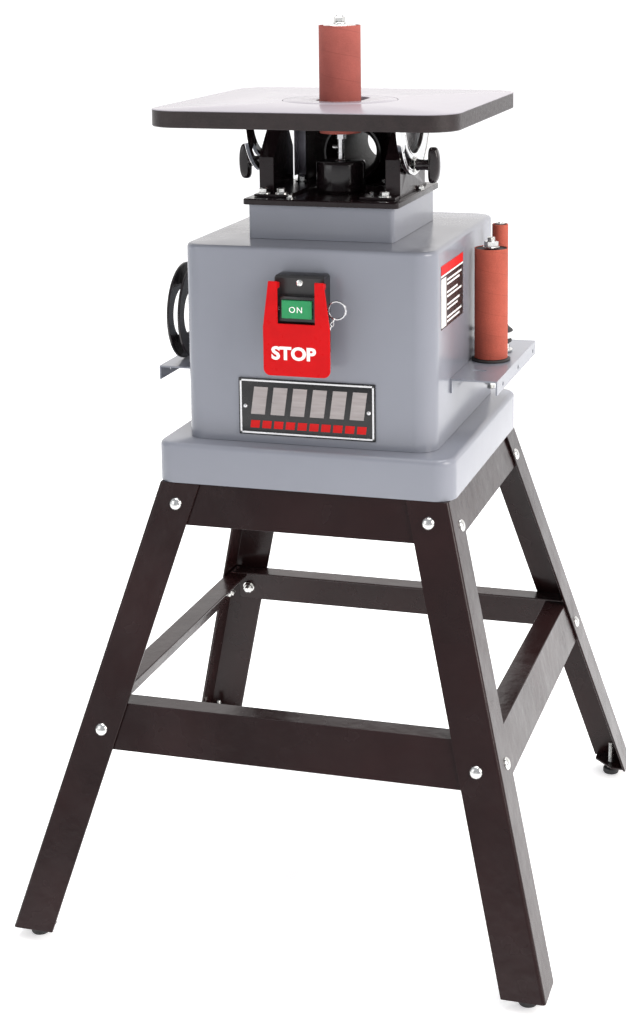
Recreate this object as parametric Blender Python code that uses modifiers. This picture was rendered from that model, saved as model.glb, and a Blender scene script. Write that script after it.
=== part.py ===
"""Oscillating spindle sander with a tilting table on a splayed sheet-metal stand.

Metres, +Z up.  The origin is on the floor under the middle of the stand, the front of the
machine faces -Y and the switch side is the front.  One named object for each real piece.
"""
import math

import bmesh
import bpy
from mathutils import Matrix, Vector

# ---------------------------------------------------------------- driving dimensions
GAP = 0.0003                 # air between pieces that touch

# stand
FOOT_Z = 0.014               # underside of the legs
STAND_TOP_Z = 0.528
LEG_TOP = (0.176, 0.186)     # outer corner of a leg at the top (x, y)
LEG_FOOT = (0.318, 0.328)    # outer corner of a leg at the bottom
LEG_FACE = 0.050             # width of each face of the leg angle
SHEET = 0.003                # stand sheet thickness
RAIL_HEIGHT = 0.048
BRACE_Z = (0.222, 0.275)
ANGLE_FLANGE = 0.025
PAD_RADIUS = 0.011
FOOT_INSET = 0.024           # levelling foot centre from a leg's outer corner

# base and cabinet
BASE_HALF = (0.181, 0.186)
BASE_TOP_Z = 0.576
CAB_X = 0.153
CAB_Y = (-0.158, 0.172)
CAB_TOP_Z = 0.810
CAB_WALL = 0.0025
NECK_HALF = (0.090, 0.098)
NECK_WALL = 0.003
PLATE_HALF = (0.096, 0.102)
PLATE_Z = (0.851, 0.858)
PLATE_SHEET = 0.004

# table
SPINDLE_Y = -0.010           # spindle axis, also the table's centre
TABLE_HALF = 0.184
TABLE_Z = (0.950, 0.970)
TABLE_CORNER = 0.040
INSERT_RADIUS = 0.070
INSERT_DEPTH = 0.006
LEDGE_RADIUS = 0.062
SLOT_RADIUS = 0.0285
SLOT_ENDS = (-0.003, 0.026)  # slot end centres, from the spindle axis along Y
TILT_Y = -0.020
TILT_Z = 0.958
ARC_OUTER = 0.076
ARC_INNER = 0.050
LOCK_RADIUS = 0.064          # lock stud below the tilt axis
ARC_X = (0.092, 0.096)
BRACKET_X = (0.084, 0.088)

# spindle
STROKE = 0.025
SHAFT_R = 0.008
ARBOR_R = 0.005
DRUM_R = 0.0254
SLEEVE = 0.001
DRUM_Z = (0.930, 1.060)
FLANGE_Z = (0.9295, 0.9315)  # flange of the shaft that carries the drum
CUP_TOP_Z = 0.896
MOTOR_Y = 0.100
GROOVE_Z = 0.715
PULLEY_R = 0.034
WORM_R = 0.016
WHEEL_R = 0.024
WHEEL_TEETH = 24
WHEEL_Z = 0.752
WHEEL_Y = SPINDLE_Y - WORM_R - WHEEL_R - 0.0005
CRANK_R = STROKE / 2

# switch
SWITCH_FACE_Y = -0.180
PADDLE_Y = (-0.195, -0.192)
PADDLE_Z = (0.667, 0.777)
PADDLE_PIVOT = (-0.184, 0.7725)
BUTTON_Z = (0.734, 0.755)
PIN_Y = -0.183
PIN_Z = 0.744

# side trays and what is stored on them
TRAY_TOP_Z = 0.647
TRAY_X = (0.1533, 0.210)
TRAY_SHEET = 0.002
STUD_REACH = 0.036                           # how far the storage studs go below the tray's top
TRAY_Y = (-0.080, 0.160)
TRAY_Y_LEFT = (-0.095, 0.145)
LARGE_DRUM = (0.178, 0.034, 0.0205, 0.137)   # x, y, radius, length
SMALL_DRUM = (0.178, 0.087, 0.0100, 0.128)
SMALL_DRUM_LIFT = 0.034                      # height of the collars under the small drum
STORED_INSERT = (-0.040, 0.060, 0.003)       # y, radius, thickness

ROUND = 48                   # facets of a large round piece
SMALL_ROUND = 24


# ---------------------------------------------------------------- scene and materials
for old in list(bpy.data.objects):
    bpy.data.objects.remove(old, do_unlink=True)

PARTS = bpy.data.collections.new("oscillating_spindle_sander")
CUTTERS = bpy.data.collections.new("cutters")
bpy.context.scene.collection.children.link(PARTS)
bpy.context.scene.collection.children.link(CUTTERS)


def material(name, colour, roughness, metallic=0.0):
    mat = bpy.data.materials.new(name)
    mat.use_nodes = True
    shader = mat.node_tree.nodes["Principled BSDF"]
    shader.inputs["Base Color"].default_value = (*colour, 1.0)
    shader.inputs["Roughness"].default_value = roughness
    shader.inputs["Metallic"].default_value = metallic
    return mat


COLOURS = {
    "stand_black": ((0.018, 0.013, 0.014), 0.35, 0.0),
    "cabinet_grey": ((0.32, 0.34, 0.37), 0.30, 0.0),
    "frame_black": ((0.012, 0.011, 0.013), 0.35, 0.0),
    "laminate": ((0.75, 0.73, 0.76), 0.25, 0.0),
    "insert": ((0.62, 0.60, 0.66), 0.35, 0.0),
    "zinc": ((0.70, 0.70, 0.72), 0.28, 1.0),
    "steel": ((0.55, 0.55, 0.56), 0.30, 1.0),
    "cast_iron": ((0.10, 0.10, 0.11), 0.60, 0.6),
    "abrasive": ((0.44, 0.13, 0.10), 0.90, 0.0),
    "rubber": ((0.02, 0.02, 0.02), 0.80, 0.0),
    "black_plastic": ((0.015, 0.015, 0.017), 0.45, 0.0),
    "red_plastic": ((0.72, 0.02, 0.03), 0.35, 0.0),
    "green_plastic": ((0.05, 0.36, 0.18), 0.40, 0.0),
    "nameplate": ((0.03, 0.03, 0.03), 0.40, 0.3),
    "motor": ((0.06, 0.07, 0.08), 0.50, 0.2),
}


# ---------------------------------------------------------------- modelling helpers
def add_object(name, bm, colour=None, origin=(0, 0, 0), smooth=False):
    """Make an object from bm (in world coordinates) with its origin at the given point."""
    bmesh.ops.recalc_face_normals(bm, faces=bm.faces)
    bmesh.ops.translate(bm, verts=bm.verts, vec=-Vector(origin))
    mesh = bpy.data.meshes.new(name)
    bm.to_mesh(mesh)
    bm.free()
    obj = bpy.data.objects.new(name, mesh)
    obj.location = origin
    if colour:
        mesh.materials.append(material(name, *COLOURS[colour]))
        PARTS.objects.link(obj)
    else:
        obj.hide_render = True
        obj.display_type = "WIRE"
        CUTTERS.objects.link(obj)
    if smooth:
        mesh.shade_smooth()
        mesh.set_sharp_from_angle(angle=math.radians(35))
    return obj


def box(low, high, colour=None, name="cutter", origin=(0, 0, 0), corner=0.0, steps=3, edge=0.0, shear=None):
    """Box; corner rounds its upright edges, edge rounds its top rim, shear leans it with height."""
    bm = bmesh.new()
    low, high = Vector(low), Vector(high)
    place = Matrix.Translation((low + high) / 2) @ Matrix.Diagonal((*(high - low), 1.0))
    bmesh.ops.create_cube(bm, size=1.0, matrix=place)
    if corner:
        upright = [e for e in bm.edges if abs(e.verts[0].co.z - e.verts[1].co.z) > 1e-6]
        bmesh.ops.bevel(bm, geom=upright, offset=corner, segments=steps, profile=0.5, affect="EDGES")
    if edge:
        rim = [e for e in bm.edges if min(v.co.z for v in e.verts) > high.z - 1e-6]
        bmesh.ops.bevel(bm, geom=rim, offset=edge, segments=2, profile=0.5, affect="EDGES")
    if shear:
        lean_box(bm, *shear)
    return add_object(name, bm, colour, origin)


def lean_box(bm, lean_x, lean_y):
    """Move vertices outward by a share of their depth below the stand's top."""
    for vert in bm.verts:
        drop = STAND_TOP_Z - vert.co.z
        vert.co.x += lean_x * drop
        vert.co.y += lean_y * drop


def prism(outline, axis, low, high, colour=None, name="cutter", origin=(0, 0, 0)):
    """Extrude a closed outline along an axis; its two numbers are the other two axes in order."""
    bm = bmesh.new()
    index = "xyz".index(axis)
    corners = []
    for first, second in outline:
        point = [first, second]
        point.insert(index, low)
        corners.append(bm.verts.new(point))
    face = bm.faces.new(corners)
    grown = bmesh.ops.extrude_face_region(bm, geom=[face])
    moved = [item for item in grown["geom"] if isinstance(item, bmesh.types.BMVert)]
    step = [0.0, 0.0, 0.0]
    step[index] = high - low
    bmesh.ops.translate(bm, verts=moved, vec=step)
    return add_object(name, bm, colour, origin)


def arc(centre, radius, start, end, steps):
    """Points of an arc, angles in degrees."""
    points = []
    for i in range(steps + 1):
        angle = math.radians(start + (end - start) * i / steps)
        points.append((centre[0] + radius * math.cos(angle), centre[1] + radius * math.sin(angle)))
    return points


def rod(centre, radius, low, high, axis="z", sides=SMALL_ROUND, colour=None, name="cutter",
        origin=(0, 0, 0), radius2=None, turn=0.0):
    """Cylinder (or cone, or hexagon) along an axis; centre holds the other two coordinates."""
    bm = bmesh.new()
    middle = list(centre)
    middle.insert("xyz".index(axis), (low + high) / 2)
    swing = {"x": Matrix.Rotation(math.pi / 2, 4, "Y"), "y": Matrix.Rotation(-math.pi / 2, 4, "X"),
             "z": Matrix.Identity(4)}[axis]
    place = Matrix.Translation(middle) @ swing @ Matrix.Rotation(math.radians(turn), 4, "Z")
    top = radius if radius2 is None else radius2
    bmesh.ops.create_cone(bm, cap_ends=True, segments=sides, radius1=radius, radius2=top,
                          depth=high - low, matrix=place)
    return add_object(name, bm, colour, origin, smooth=bool(colour))


def turned(name, profile, colour, origin, axis="z", closed=True, steps=ROUND):
    """Turn a profile of (radius, height) about the axis through origin, with a Screw modifier.

    The profile runs down its outer side; closed joins its end to its start, as a ring needs.
    """
    mesh = bpy.data.meshes.new(name)
    points = [(radius, 0.0, height) for radius, height in profile]
    edges = [(i, i + 1) for i in range(len(points) - 1)]
    if closed:
        edges.append((len(points) - 1, 0))
    mesh.from_pydata(points, edges, [])
    obj = bpy.data.objects.new(name, mesh)
    obj.location = origin
    if axis == "x":
        obj.rotation_euler = (0.0, math.pi / 2, 0.0)
    if axis == "y":
        obj.rotation_euler = (-math.pi / 2, 0.0, 0.0)
    screw = obj.modifiers.new("turn", "SCREW")
    screw.axis = "Z"
    screw.steps = steps
    screw.render_steps = steps
    screw.use_merge_vertices = True
    screw.merge_threshold = 0.00001
    screw.use_smooth_shade = True
    mesh.materials.append(material(name, *COLOURS[colour]))
    PARTS.objects.link(obj)
    return obj


def boolean(obj, tools, operation):
    for tool in tools:
        modifier = obj.modifiers.new(operation.lower(), "BOOLEAN")
        modifier.operation = operation
        modifier.object = tool
        modifier.solver = "EXACT"
    return obj


def cut(obj, *tools):
    return boolean(obj, tools, "DIFFERENCE")


def fuse(obj, *tools):
    return boolean(obj, tools, "UNION")


SIDES = {"left": -1, "right": 1}
ENDS = {"front": -1, "rear": 1}
LEAN = tuple((LEG_FOOT[i] - LEG_TOP[i]) / (STAND_TOP_Z - FOOT_Z) for i in range(2))


# ---------------------------------------------------------------- stand
def leg(name, side, end):
    """Splayed angle-section leg with a folded foot flange that the levelling stud passes."""
    bend = SHEET + 0.001
    section = [(LEG_FACE, 0.0), (LEG_FACE, SHEET), (SHEET, SHEET), (SHEET, LEG_FACE), (0.0, LEG_FACE)]
    section += arc((bend, bend), bend, 180, 270, 3)
    reach = LEG_FACE - 0.004
    flange = [(0.0015, 0.0015), (reach, 0.0015), (reach, 0.020), (0.020, reach), (0.0015, reach)]

    def place(points):
        return [(side * (LEG_TOP[0] - u), end * (LEG_TOP[1] - v)) for u, v in points]

    obj = prism(place(section), "z", FOOT_Z, STAND_TOP_Z - GAP, "stand_black", name)
    foot = prism(place(flange), "z", FOOT_Z, FOOT_Z + SHEET)
    for part in (obj, foot):
        for vert in part.data.vertices:
            drop = STAND_TOP_Z - vert.co.z
            vert.co.x += side * LEAN[0] * drop
            vert.co.y += end * LEAN[1] * drop
    hole = rod(foot_centre(side, end), 0.0048, 0.0, 0.03, sides=16)
    return cut(fuse(obj, foot), hole)


def foot_centre(side, end):
    return (side * (LEG_FOOT[0] - FOOT_INSET), end * (LEG_FOOT[1] - FOOT_INSET))


def cross_angle(name, direction, sign, low, high):
    """Angle-section rail inside the legs; its web leans with them, its flange points inward."""
    run = 0 if direction == "x" else 1
    across = 1 - run
    drop = STAND_TOP_Z - high
    top_corner = [LEG_TOP[i] + LEAN[i] * drop for i in range(2)]
    outer = top_corner[across] - SHEET - GAP
    inner = outer - SHEET
    if run == 0:
        half = top_corner[0] - SHEET - 0.001
        flange_half = top_corner[0] - 0.011
    else:
        half = top_corner[1] - 2 * SHEET - 3 * GAP
        flange_half = top_corner[1] - 2 * SHEET - ANGLE_FLANGE - 0.005
    shift = LEAN[across] * drop
    shear = [0.0, 0.0]
    shear[across] = sign * LEAN[across]

    def slab(far, near, half_run, z_low, z_high, **options):
        a, b = sorted((sign * far, sign * near))
        lows, highs = [0.0, 0.0, z_low], [0.0, 0.0, z_high]
        lows[run], highs[run] = -half_run, half_run
        lows[across], highs[across] = a, b
        return box(lows, highs, **options)

    web = slab(outer - shift, inner - shift, half, low, high - GAP,
               colour="stand_black", name=name, shear=shear)
    flange = slab(inner + 0.001, inner - ANGLE_FLANGE, flange_half, high - SHEET, high - GAP)
    return fuse(web, flange)


def levelling_foot(name, side, end):
    """Rubber-faced pad, jam nut and threaded stud, all one screwed piece."""
    centre = foot_centre(side, end)
    profile = [(0.0, 0.044), (0.0035, 0.044), (0.004, 0.0435), (0.004, 0.0095), (0.009, 0.0095),
               (PAD_RADIUS, 0.008), (PAD_RADIUS, 0.001), (PAD_RADIUS - 0.001, 0.0), (0.0, 0.0)]
    foot = turned(name, profile, "black_plastic", (*centre, 0.0), closed=False, steps=16)
    nut = rod(centre, 0.0075, 0.009, FOOT_Z - GAP, sides=6)
    return fuse(foot, nut)


for end_name, end in ENDS.items():
    for side_name, side in SIDES.items():
        leg(f"leg_{end_name}_{side_name}", side, end)
        levelling_foot(f"levelling_foot_{end_name}_{side_name}", side, end)
    cross_angle(f"stand_rail_{end_name}", "x", end, STAND_TOP_Z - RAIL_HEIGHT, STAND_TOP_Z)
    cross_angle(f"stand_brace_{end_name}", "x", end, *BRACE_Z)
for side_name, side in SIDES.items():
    cross_angle(f"stand_rail_{side_name}", "y", side, STAND_TOP_Z - RAIL_HEIGHT, STAND_TOP_Z)
    cross_angle(f"stand_brace_{side_name}", "y", side, *BRACE_Z)


# ---------------------------------------------------------------- base, cabinet and neck
def base_tray():
    wall = 0.003
    bx, by = BASE_HALF
    outer = box((-bx, -by, STAND_TOP_Z), (bx, by, BASE_TOP_Z), "cabinet_grey", "base_tray",
                corner=0.022, steps=5, edge=0.006)
    inside = box((-bx + wall, -by + wall, STAND_TOP_Z - 0.01), (bx - wall, by - wall, BASE_TOP_Z - wall),
                 corner=0.019, steps=5)
    vent = box((-0.120, -0.125, STAND_TOP_Z), (0.120, 0.140, BASE_TOP_Z + 0.01))
    return cut(outer, inside, vent)


def cabinet_shell():
    front, back = CAB_Y
    outer = box((-CAB_X, front, BASE_TOP_Z + GAP), (CAB_X, back, CAB_TOP_Z),
                "cabinet_grey", "cabinet_shell", corner=0.025, steps=6, edge=0.004)
    inner_x = CAB_X - CAB_WALL
    inside = box((-inner_x, front + CAB_WALL, BASE_TOP_Z - 0.01),
                 (inner_x, back - CAB_WALL, CAB_TOP_Z - CAB_WALL), corner=0.0225, steps=6)
    neck_hole = box((-0.080, -0.088, CAB_TOP_Z - 0.02), (0.080, 0.088, CAB_TOP_Z + 0.01))
    service_hole = box((-0.108, back - 0.02, 0.596), (0.108, back + 0.01, 0.788))
    return cut(outer, inside, neck_hole, service_hole)


def rear_cover():
    low_y = CAB_Y[1] + GAP
    cover = box((-0.120, low_y, 0.584), (0.120, low_y + 0.002, 0.800), "cabinet_grey", "rear_cover")
    slots = []
    for row in range(6):
        height = 0.700 + row * 0.014
        slots.append(box((-0.050, low_y - 0.01, height), (0.050, low_y + 0.01, height + 0.005)))
    inlet = rod((0.085, 0.612), 0.0082, low_y - 0.01, low_y + 0.01, axis="y")
    return cut(cover, inlet, *slots)


def neck_box():
    nx, ny = NECK_HALF
    top = PLATE_Z[1] - PLATE_SHEET - GAP
    outer = box((-nx, -ny, CAB_TOP_Z + GAP), (nx, ny, top), "cabinet_grey", "neck_box",
                corner=0.005, steps=3)
    inside = box((-nx + NECK_WALL, -ny + NECK_WALL, CAB_TOP_Z - 0.01),
                 (nx - NECK_WALL, ny - NECK_WALL, top + 0.01))
    return cut(outer, inside)


def mounting_plate():
    lip = 0.002
    px, py = PLATE_HALF
    plate = box((-px, -py, PLATE_Z[0]), (px, py, PLATE_Z[1]), "frame_black", "mounting_plate",
                corner=0.006, edge=0.0015)
    pocket = box((-px + lip, -py + lip, PLATE_Z[0] - 0.01), (px - lip, py - lip, PLATE_Z[1] - PLATE_SHEET),
                 corner=0.004)
    bore = rod((0.0, SPINDLE_Y), 0.0266, PLATE_Z[0] - 0.01, PLATE_Z[1] + 0.01, sides=ROUND)
    return cut(plate, pocket, bore)


base_tray()
cabinet_shell()
rear_cover()
neck_box()
mounting_plate()

GLAND_PROFILE = [(0.0035, 0.022), (0.0065, 0.021), (0.0095, 0.012), (0.0115, 0.010), (0.0115, 0.003),
                 (0.0078, 0.003), (0.0078, -0.008), (0.0035, -0.008)]
turned("cord_gland", GLAND_PROFILE, "black_plastic", (0.085, CAB_Y[1] + 0.0005, 0.612), axis="y",
       steps=SMALL_ROUND)
box((-0.0835, CAB_Y[0] - GAP - 0.002, 0.586), (0.0835, CAB_Y[0] - GAP, 0.654), "nameplate", "nameplate")


# ---------------------------------------------------------------- switch
def switch_housing():
    """Moulded block with a raised guard round the start button; the lock pin passes its ears."""
    back = CAB_Y[0] - GAP
    body = box((-0.030, SWITCH_FACE_Y, 0.690), (0.030, back, 0.783), "black_plastic", "switch_housing",
               edge=0.004)
    guard = box((-0.0215, -0.189, 0.730), (0.0215, SWITCH_FACE_Y + 0.002, 0.759))
    start_well = box((-0.0184, -0.200, BUTTON_Z[0] - 0.0004), (0.0184, -0.170, BUTTON_Z[1] + 0.0004))
    stop_well = box((-0.0144, -0.200, 0.7036), (0.0144, -0.170, 0.7244))
    pin_hole = rod((PIN_Y, PIN_Z), 0.0026, -0.03, 0.03, axis="x", sides=16)
    return cut(fuse(body, guard), start_well, stop_well, pin_hole)


def on_button():
    """Start button, with a slot across it that leaves room for the lock pin."""
    button = box((-0.018, -0.192, BUTTON_Z[0]), (0.018, -0.175, BUTTON_Z[1]), "green_plastic", "on_button",
                 origin=(0.0, -0.192, sum(BUTTON_Z) / 2))
    slot = box((-0.03, -0.1896, PIN_Z - 0.003), (0.03, -0.1804, PIN_Z + 0.003))
    return cut(button, slot)


def stop_paddle():
    """Red paddle hung from two prongs, with a gap that leaves the start button in reach."""
    low, high = PADDLE_Z
    shoulder = 0.727
    prong_out, prong_in, half = 0.033, 0.0225, 0.040
    outline = [(prong_in, high), (prong_in, shoulder + 0.001),
               (-prong_in, shoulder + 0.001), (-prong_in, high),
               (-prong_out, high), (-half, shoulder - 0.003)]
    outline += arc((-half + 0.008, low + 0.008), 0.008, 180, 270, 5)
    outline += arc((half - 0.008, low + 0.008), 0.008, 270, 360, 5)
    outline += [(half, shoulder - 0.003), (prong_out, high)]
    paddle = prism(outline, "y", *PADDLE_Y, "red_plastic", "stop_paddle", origin=(0.0, *PADDLE_PIVOT))
    knuckles = []
    for side in SIDES.values():
        a, b = sorted((side * prong_in, side * prong_out))
        knuckles.append(box((a + 0.001, PADDLE_Y[1] - 0.001, 0.768), (b - 0.001, -0.1812, high - 0.0025)))
    return fuse(paddle, *knuckles)


def lock_pin():
    """Lock-out pin across the start button with its pull ring."""
    pin = rod((PIN_Y, PIN_Z), 0.0022, -0.0245, 0.036, axis="x", sides=16, colour="steel", name="lock_pin",
              origin=(0.0, PIN_Y, PIN_Z))
    ring_mesh = bmesh.new()
    ring_radius, wire, around, section = 0.0105, 0.0012, 16, 6
    for i in range(around):
        angle = 2 * math.pi * i / around
        frame = (Matrix.Translation((0.0455, PIN_Y, PIN_Z)) @ Matrix.Rotation(angle, 4, "Y")
                 @ Matrix.Translation((ring_radius, 0.0, 0.0)))
        for j in range(section):
            turn = 2 * math.pi * j / section
            ring_mesh.verts.new(frame @ Vector((wire * math.cos(turn), wire * math.sin(turn), 0.0)))
    ring_mesh.verts.ensure_lookup_table()
    for i in range(around):
        ahead = (i + 1) % around
        for j in range(section):
            above = (j + 1) % section
            loop = ((i, j), (ahead, j), (ahead, above), (i, above))
            ring_mesh.faces.new([ring_mesh.verts[a * section + b] for a, b in loop])
    return fuse(pin, add_object("cutter", ring_mesh))


switch_housing()
on_button()
box((-0.014, -0.186, 0.704), (0.014, -0.175, 0.724), "red_plastic", "off_button",
    origin=(0.0, -0.186, 0.714))
stop_paddle()
lock_pin()


# ---------------------------------------------------------------- side trays and stored tooling
def tray(name, side, span):
    """Inverted channel screwed to the cabinet wall, with a row of holes in its outer flange."""
    low, high = TRAY_X
    sheet, depth = TRAY_SHEET, 0.017
    top, bottom = TRAY_TOP_Z, TRAY_TOP_Z - depth
    section = [(low, top), (high, top), (high, bottom), (high - sheet, bottom), (high - sheet, top - sheet),
               (low + sheet, top - sheet), (low + sheet, bottom), (low, bottom)]
    obj = prism([(side * x, z) for x, z in section], "y", *span, "cabinet_grey", name)
    holes = []
    for share in (0.14, 0.52, 0.92):
        y = span[0] + share * (span[1] - span[0])
        reach = sorted((side * 0.200, side * 0.216))
        holes.append(rod((y, top - 0.010), 0.003, *reach, axis="x", sides=12))
    slot_x, slot_y = side * 0.177, span[0] + 0.053
    holes.append(box((slot_x - 0.009, slot_y - 0.0035, top - 0.01),
                     (slot_x + 0.009, slot_y + 0.0035, top + 0.01), corner=0.0034))
    return cut(obj, *holes)


def stored_drum(name, stud_name, spec, bolt, bottom, collars, top_nut):
    """Spare drum on a threaded stud: collars below it, and a washer, or a nut too, above it."""
    x, y, radius, length = spec
    top = bottom + GAP + length
    turned(name, [(bolt + 0.0004, top), (radius - 0.001, top), (radius, top - 0.001),
                  (radius, bottom + GAP), (bolt + 0.0004, bottom + GAP)],
           "abrasive", (x, y, 0.0), steps=28)
    washer = top + GAP
    end = washer + (0.013 if top_nut else 0.002)
    profile = [(0.0, end), (bolt, end), (bolt, washer + 0.0015), (bolt * 2.1, washer + 0.0015),
               (bolt * 2.1, washer), (bolt, washer), (bolt, bottom)]
    profile += collars
    profile += [(bolt, TRAY_TOP_Z + GAP), (bolt, TRAY_TOP_Z - STUD_REACH), (0.0, TRAY_TOP_Z - STUD_REACH)]
    parts = [turned(stud_name, profile, "zinc", (x, y, 0.0), closed=False, steps=16)]
    if top_nut:
        parts.append(rod((x, y), bolt * 1.75, washer + 0.001, washer + 0.008, sides=6))
    tray_nut_top = TRAY_TOP_Z - TRAY_SHEET - GAP
    for nut_top in (tray_nut_top, tray_nut_top - 0.019):
        parts.append(rod((x, y), bolt * 1.75, nut_top - 0.009, nut_top, sides=6))
    return fuse(*parts)


tray("tray_right", 1, TRAY_Y)
tray("tray_left", -1, TRAY_Y_LEFT)
for drum in (LARGE_DRUM, SMALL_DRUM):
    bolt_hole = 0.0054 if drum is LARGE_DRUM else 0.0034
    drill = rod(drum[:2], bolt_hole, TRAY_TOP_Z - 0.01, TRAY_TOP_Z + 0.01, sides=16)
    cut(bpy.data.objects["tray_right"], drill)
collar = LARGE_DRUM[2] + 0.0035
seat = TRAY_TOP_Z + 0.003
stored_drum("stored_drum_large", "storage_stud_large", LARGE_DRUM, 0.005, seat + GAP,
            [(collar, seat), (collar, TRAY_TOP_Z + GAP)], True)
seat = TRAY_TOP_Z + SMALL_DRUM_LIFT
stored_drum("stored_drum_small", "storage_stud_small", SMALL_DRUM, 0.003, seat,
            [(0.0105, seat), (0.0165, seat - 0.006), (0.0165, seat - 0.008), (0.0125, seat - 0.008),
             (0.0125, seat - 0.017), (0.0150, seat - 0.018), (0.0150, seat - 0.021), (0.0125, seat - 0.022),
             (0.0125, TRAY_TOP_Z + 0.003), (0.0160, TRAY_TOP_Z + 0.003), (0.0160, TRAY_TOP_Z + GAP)], False)


def stored_insert(name, x):
    """Spare table insert stood on edge on the tray, with a long hole for the drum."""
    y, radius, thickness = STORED_INSERT
    z = TRAY_TOP_Z + GAP + radius
    disc = rod((y, z), radius, x, x + thickness, axis="x", sides=40, colour="black_plastic", name=name,
               origin=(x, y, z))
    hole_radius, hole_reach = 0.030, 0.014
    outline = arc((y + hole_reach, z), hole_radius, -90, 90, 12)
    outline += arc((y - hole_reach, z), hole_radius, 90, 270, 12)
    return cut(disc, prism(outline, "x", x - 0.01, x + thickness + 0.01))


stored_insert("stored_insert_outer", -0.197)
stored_insert("stored_insert_inner", -0.183)


# ---------------------------------------------------------------- table and tilt gear
TILT_ORIGIN = (0.0, TILT_Y, TILT_Z)
SPINDLE_XY = (0.0, SPINDLE_Y)


def table_top():
    low, high = TABLE_Z
    slab = box((-TABLE_HALF, SPINDLE_Y - TABLE_HALF, low), (TABLE_HALF, SPINDLE_Y + TABLE_HALF, high),
               "laminate", "table_top", origin=TILT_ORIGIN, corner=TABLE_CORNER, steps=7, edge=0.0008)
    recess = rod(SPINDLE_XY, INSERT_RADIUS + 0.0005, high - INSERT_DEPTH - GAP, high + 0.01, sides=ROUND)
    ledge = rod(SPINDLE_XY, LEDGE_RADIUS, low - 0.01, high, sides=ROUND)
    return cut(slab, recess, ledge)


def table_insert():
    """Drop-in disc; its slot leaves the drum free when the table tilts."""
    top = TABLE_Z[1]
    front, rear = (SPINDLE_Y + offset for offset in SLOT_ENDS)
    outline = arc((0.0, rear), SLOT_RADIUS, 0, 180, 16) + arc((0.0, front), SLOT_RADIUS, 180, 360, 16)
    disc = rod(SPINDLE_XY, INSERT_RADIUS, top - INSERT_DEPTH, top, sides=ROUND, colour="insert",
               name="table_insert", origin=(*SPINDLE_XY, top))
    return cut(disc, prism(outline, "z", top - 0.02, top + 0.01))


def trunnion(name, side):
    """Slotted tilt arc under the table, with the flange that is screwed to the table."""
    top = TABLE_Z[0] - GAP
    centre = (TILT_Y, TILT_Z)
    near, far = sorted((side * ARC_X[0], side * ARC_X[1]))
    below = math.degrees(math.asin((TILT_Z - top) / ARC_OUTER))
    plate = prism(arc(centre, ARC_OUTER, 180 + below, 360 - below, 32), "x", near, far, "zinc", name,
                  origin=TILT_ORIGIN)
    window_top = top - 0.003
    inner = math.degrees(math.asin((TILT_Z - window_top) / ARC_INNER))
    window = prism(arc(centre, ARC_INNER, 180 + inner, 360 - inner, 24), "x", near - 0.01, far + 0.01)
    slot_points = arc(centre, LOCK_RADIUS + 0.0048, 270 - 50, 270 + 5, 18)
    slot_points += arc(centre, LOCK_RADIUS - 0.0048, 270 + 5, 270 - 50, 18)
    slot = prism(slot_points, "x", near - 0.01, far + 0.01)
    flange_low, flange_high = sorted((side * ARC_X[0], side * 0.116))
    flange = box((flange_low, TILT_Y - ARC_OUTER + 0.003, window_top),
                 (flange_high, TILT_Y + ARC_OUTER - 0.003, top))
    return cut(fuse(plate, flange), window, slot)


def tilt_bracket(name, side):
    """Fixed bracket: upright web, front flange and foot, with the boss that the lock stud enters."""
    foot_z = PLATE_Z[1] + GAP
    near, far = sorted((side * BRACKET_X[0], side * BRACKET_X[1]))
    outline = [(-0.060, foot_z), (-0.060, 0.904), (-0.022, 0.942), (0.034, 0.942), (0.060, 0.905),
               (0.060, foot_z)]
    web = prism(outline, "x", near, far, "frame_black", name)
    low, high = sorted((side * 0.070, side * BRACKET_X[1]))
    front = box((low, -0.060, foot_z), (high, -0.057, 0.9035))
    low, high = sorted((side * 0.044, side * (BRACKET_X[1] - 0.0005)))
    foot = box((low, -0.082, foot_z), (high, 0.070, foot_z + 0.003))
    low, high = sorted((side * BRACKET_X[0], side * (ARC_X[0] - GAP)))
    boss = rod((TILT_Y, TILT_Z - LOCK_RADIUS), 0.010, low, high, axis="x")
    low, high = sorted((side * 0.070, side * 0.100))
    bore = rod((TILT_Y, TILT_Z - LOCK_RADIUS), 0.0045, low, high, axis="x")
    return cut(fuse(web, front, foot, boss), bore)


def lock_knob(name, side):
    """Tee-handled lock knob: stud through bracket and arc, washer, stem and cross bar."""
    centre = (TILT_Y, TILT_Z - LOCK_RADIUS)

    def span(a, b):
        return sorted((side * a, side * b))

    stud = rod(centre, 0.004, *span(BRACKET_X[0] + 0.0005, 0.099), axis="x",
               colour="black_plastic", name=name, origin=(0.0, *centre))
    washer = rod(centre, 0.010, *span(ARC_X[1] + 0.0005, 0.0985), axis="x")
    stem = rod(centre, 0.0075, *span(0.098, 0.115), axis="x")
    x_low, x_high = span(0.113, 0.127)
    bar = box((x_low, TILT_Y - 0.0075, centre[1] - 0.022), (x_high, TILT_Y + 0.0075, centre[1] + 0.022))
    bevel = bar.modifiers.new("round", "BEVEL")
    bevel.width = 0.004
    bevel.segments = 2
    return fuse(stud, washer, stem, bar)


table_top()
table_insert()
for side_name, side in SIDES.items():
    trunnion(f"trunnion_{side_name}", side)
    tilt_bracket(f"tilt_bracket_{side_name}", side)
    lock_knob(f"lock_knob_{side_name}", side)


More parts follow.
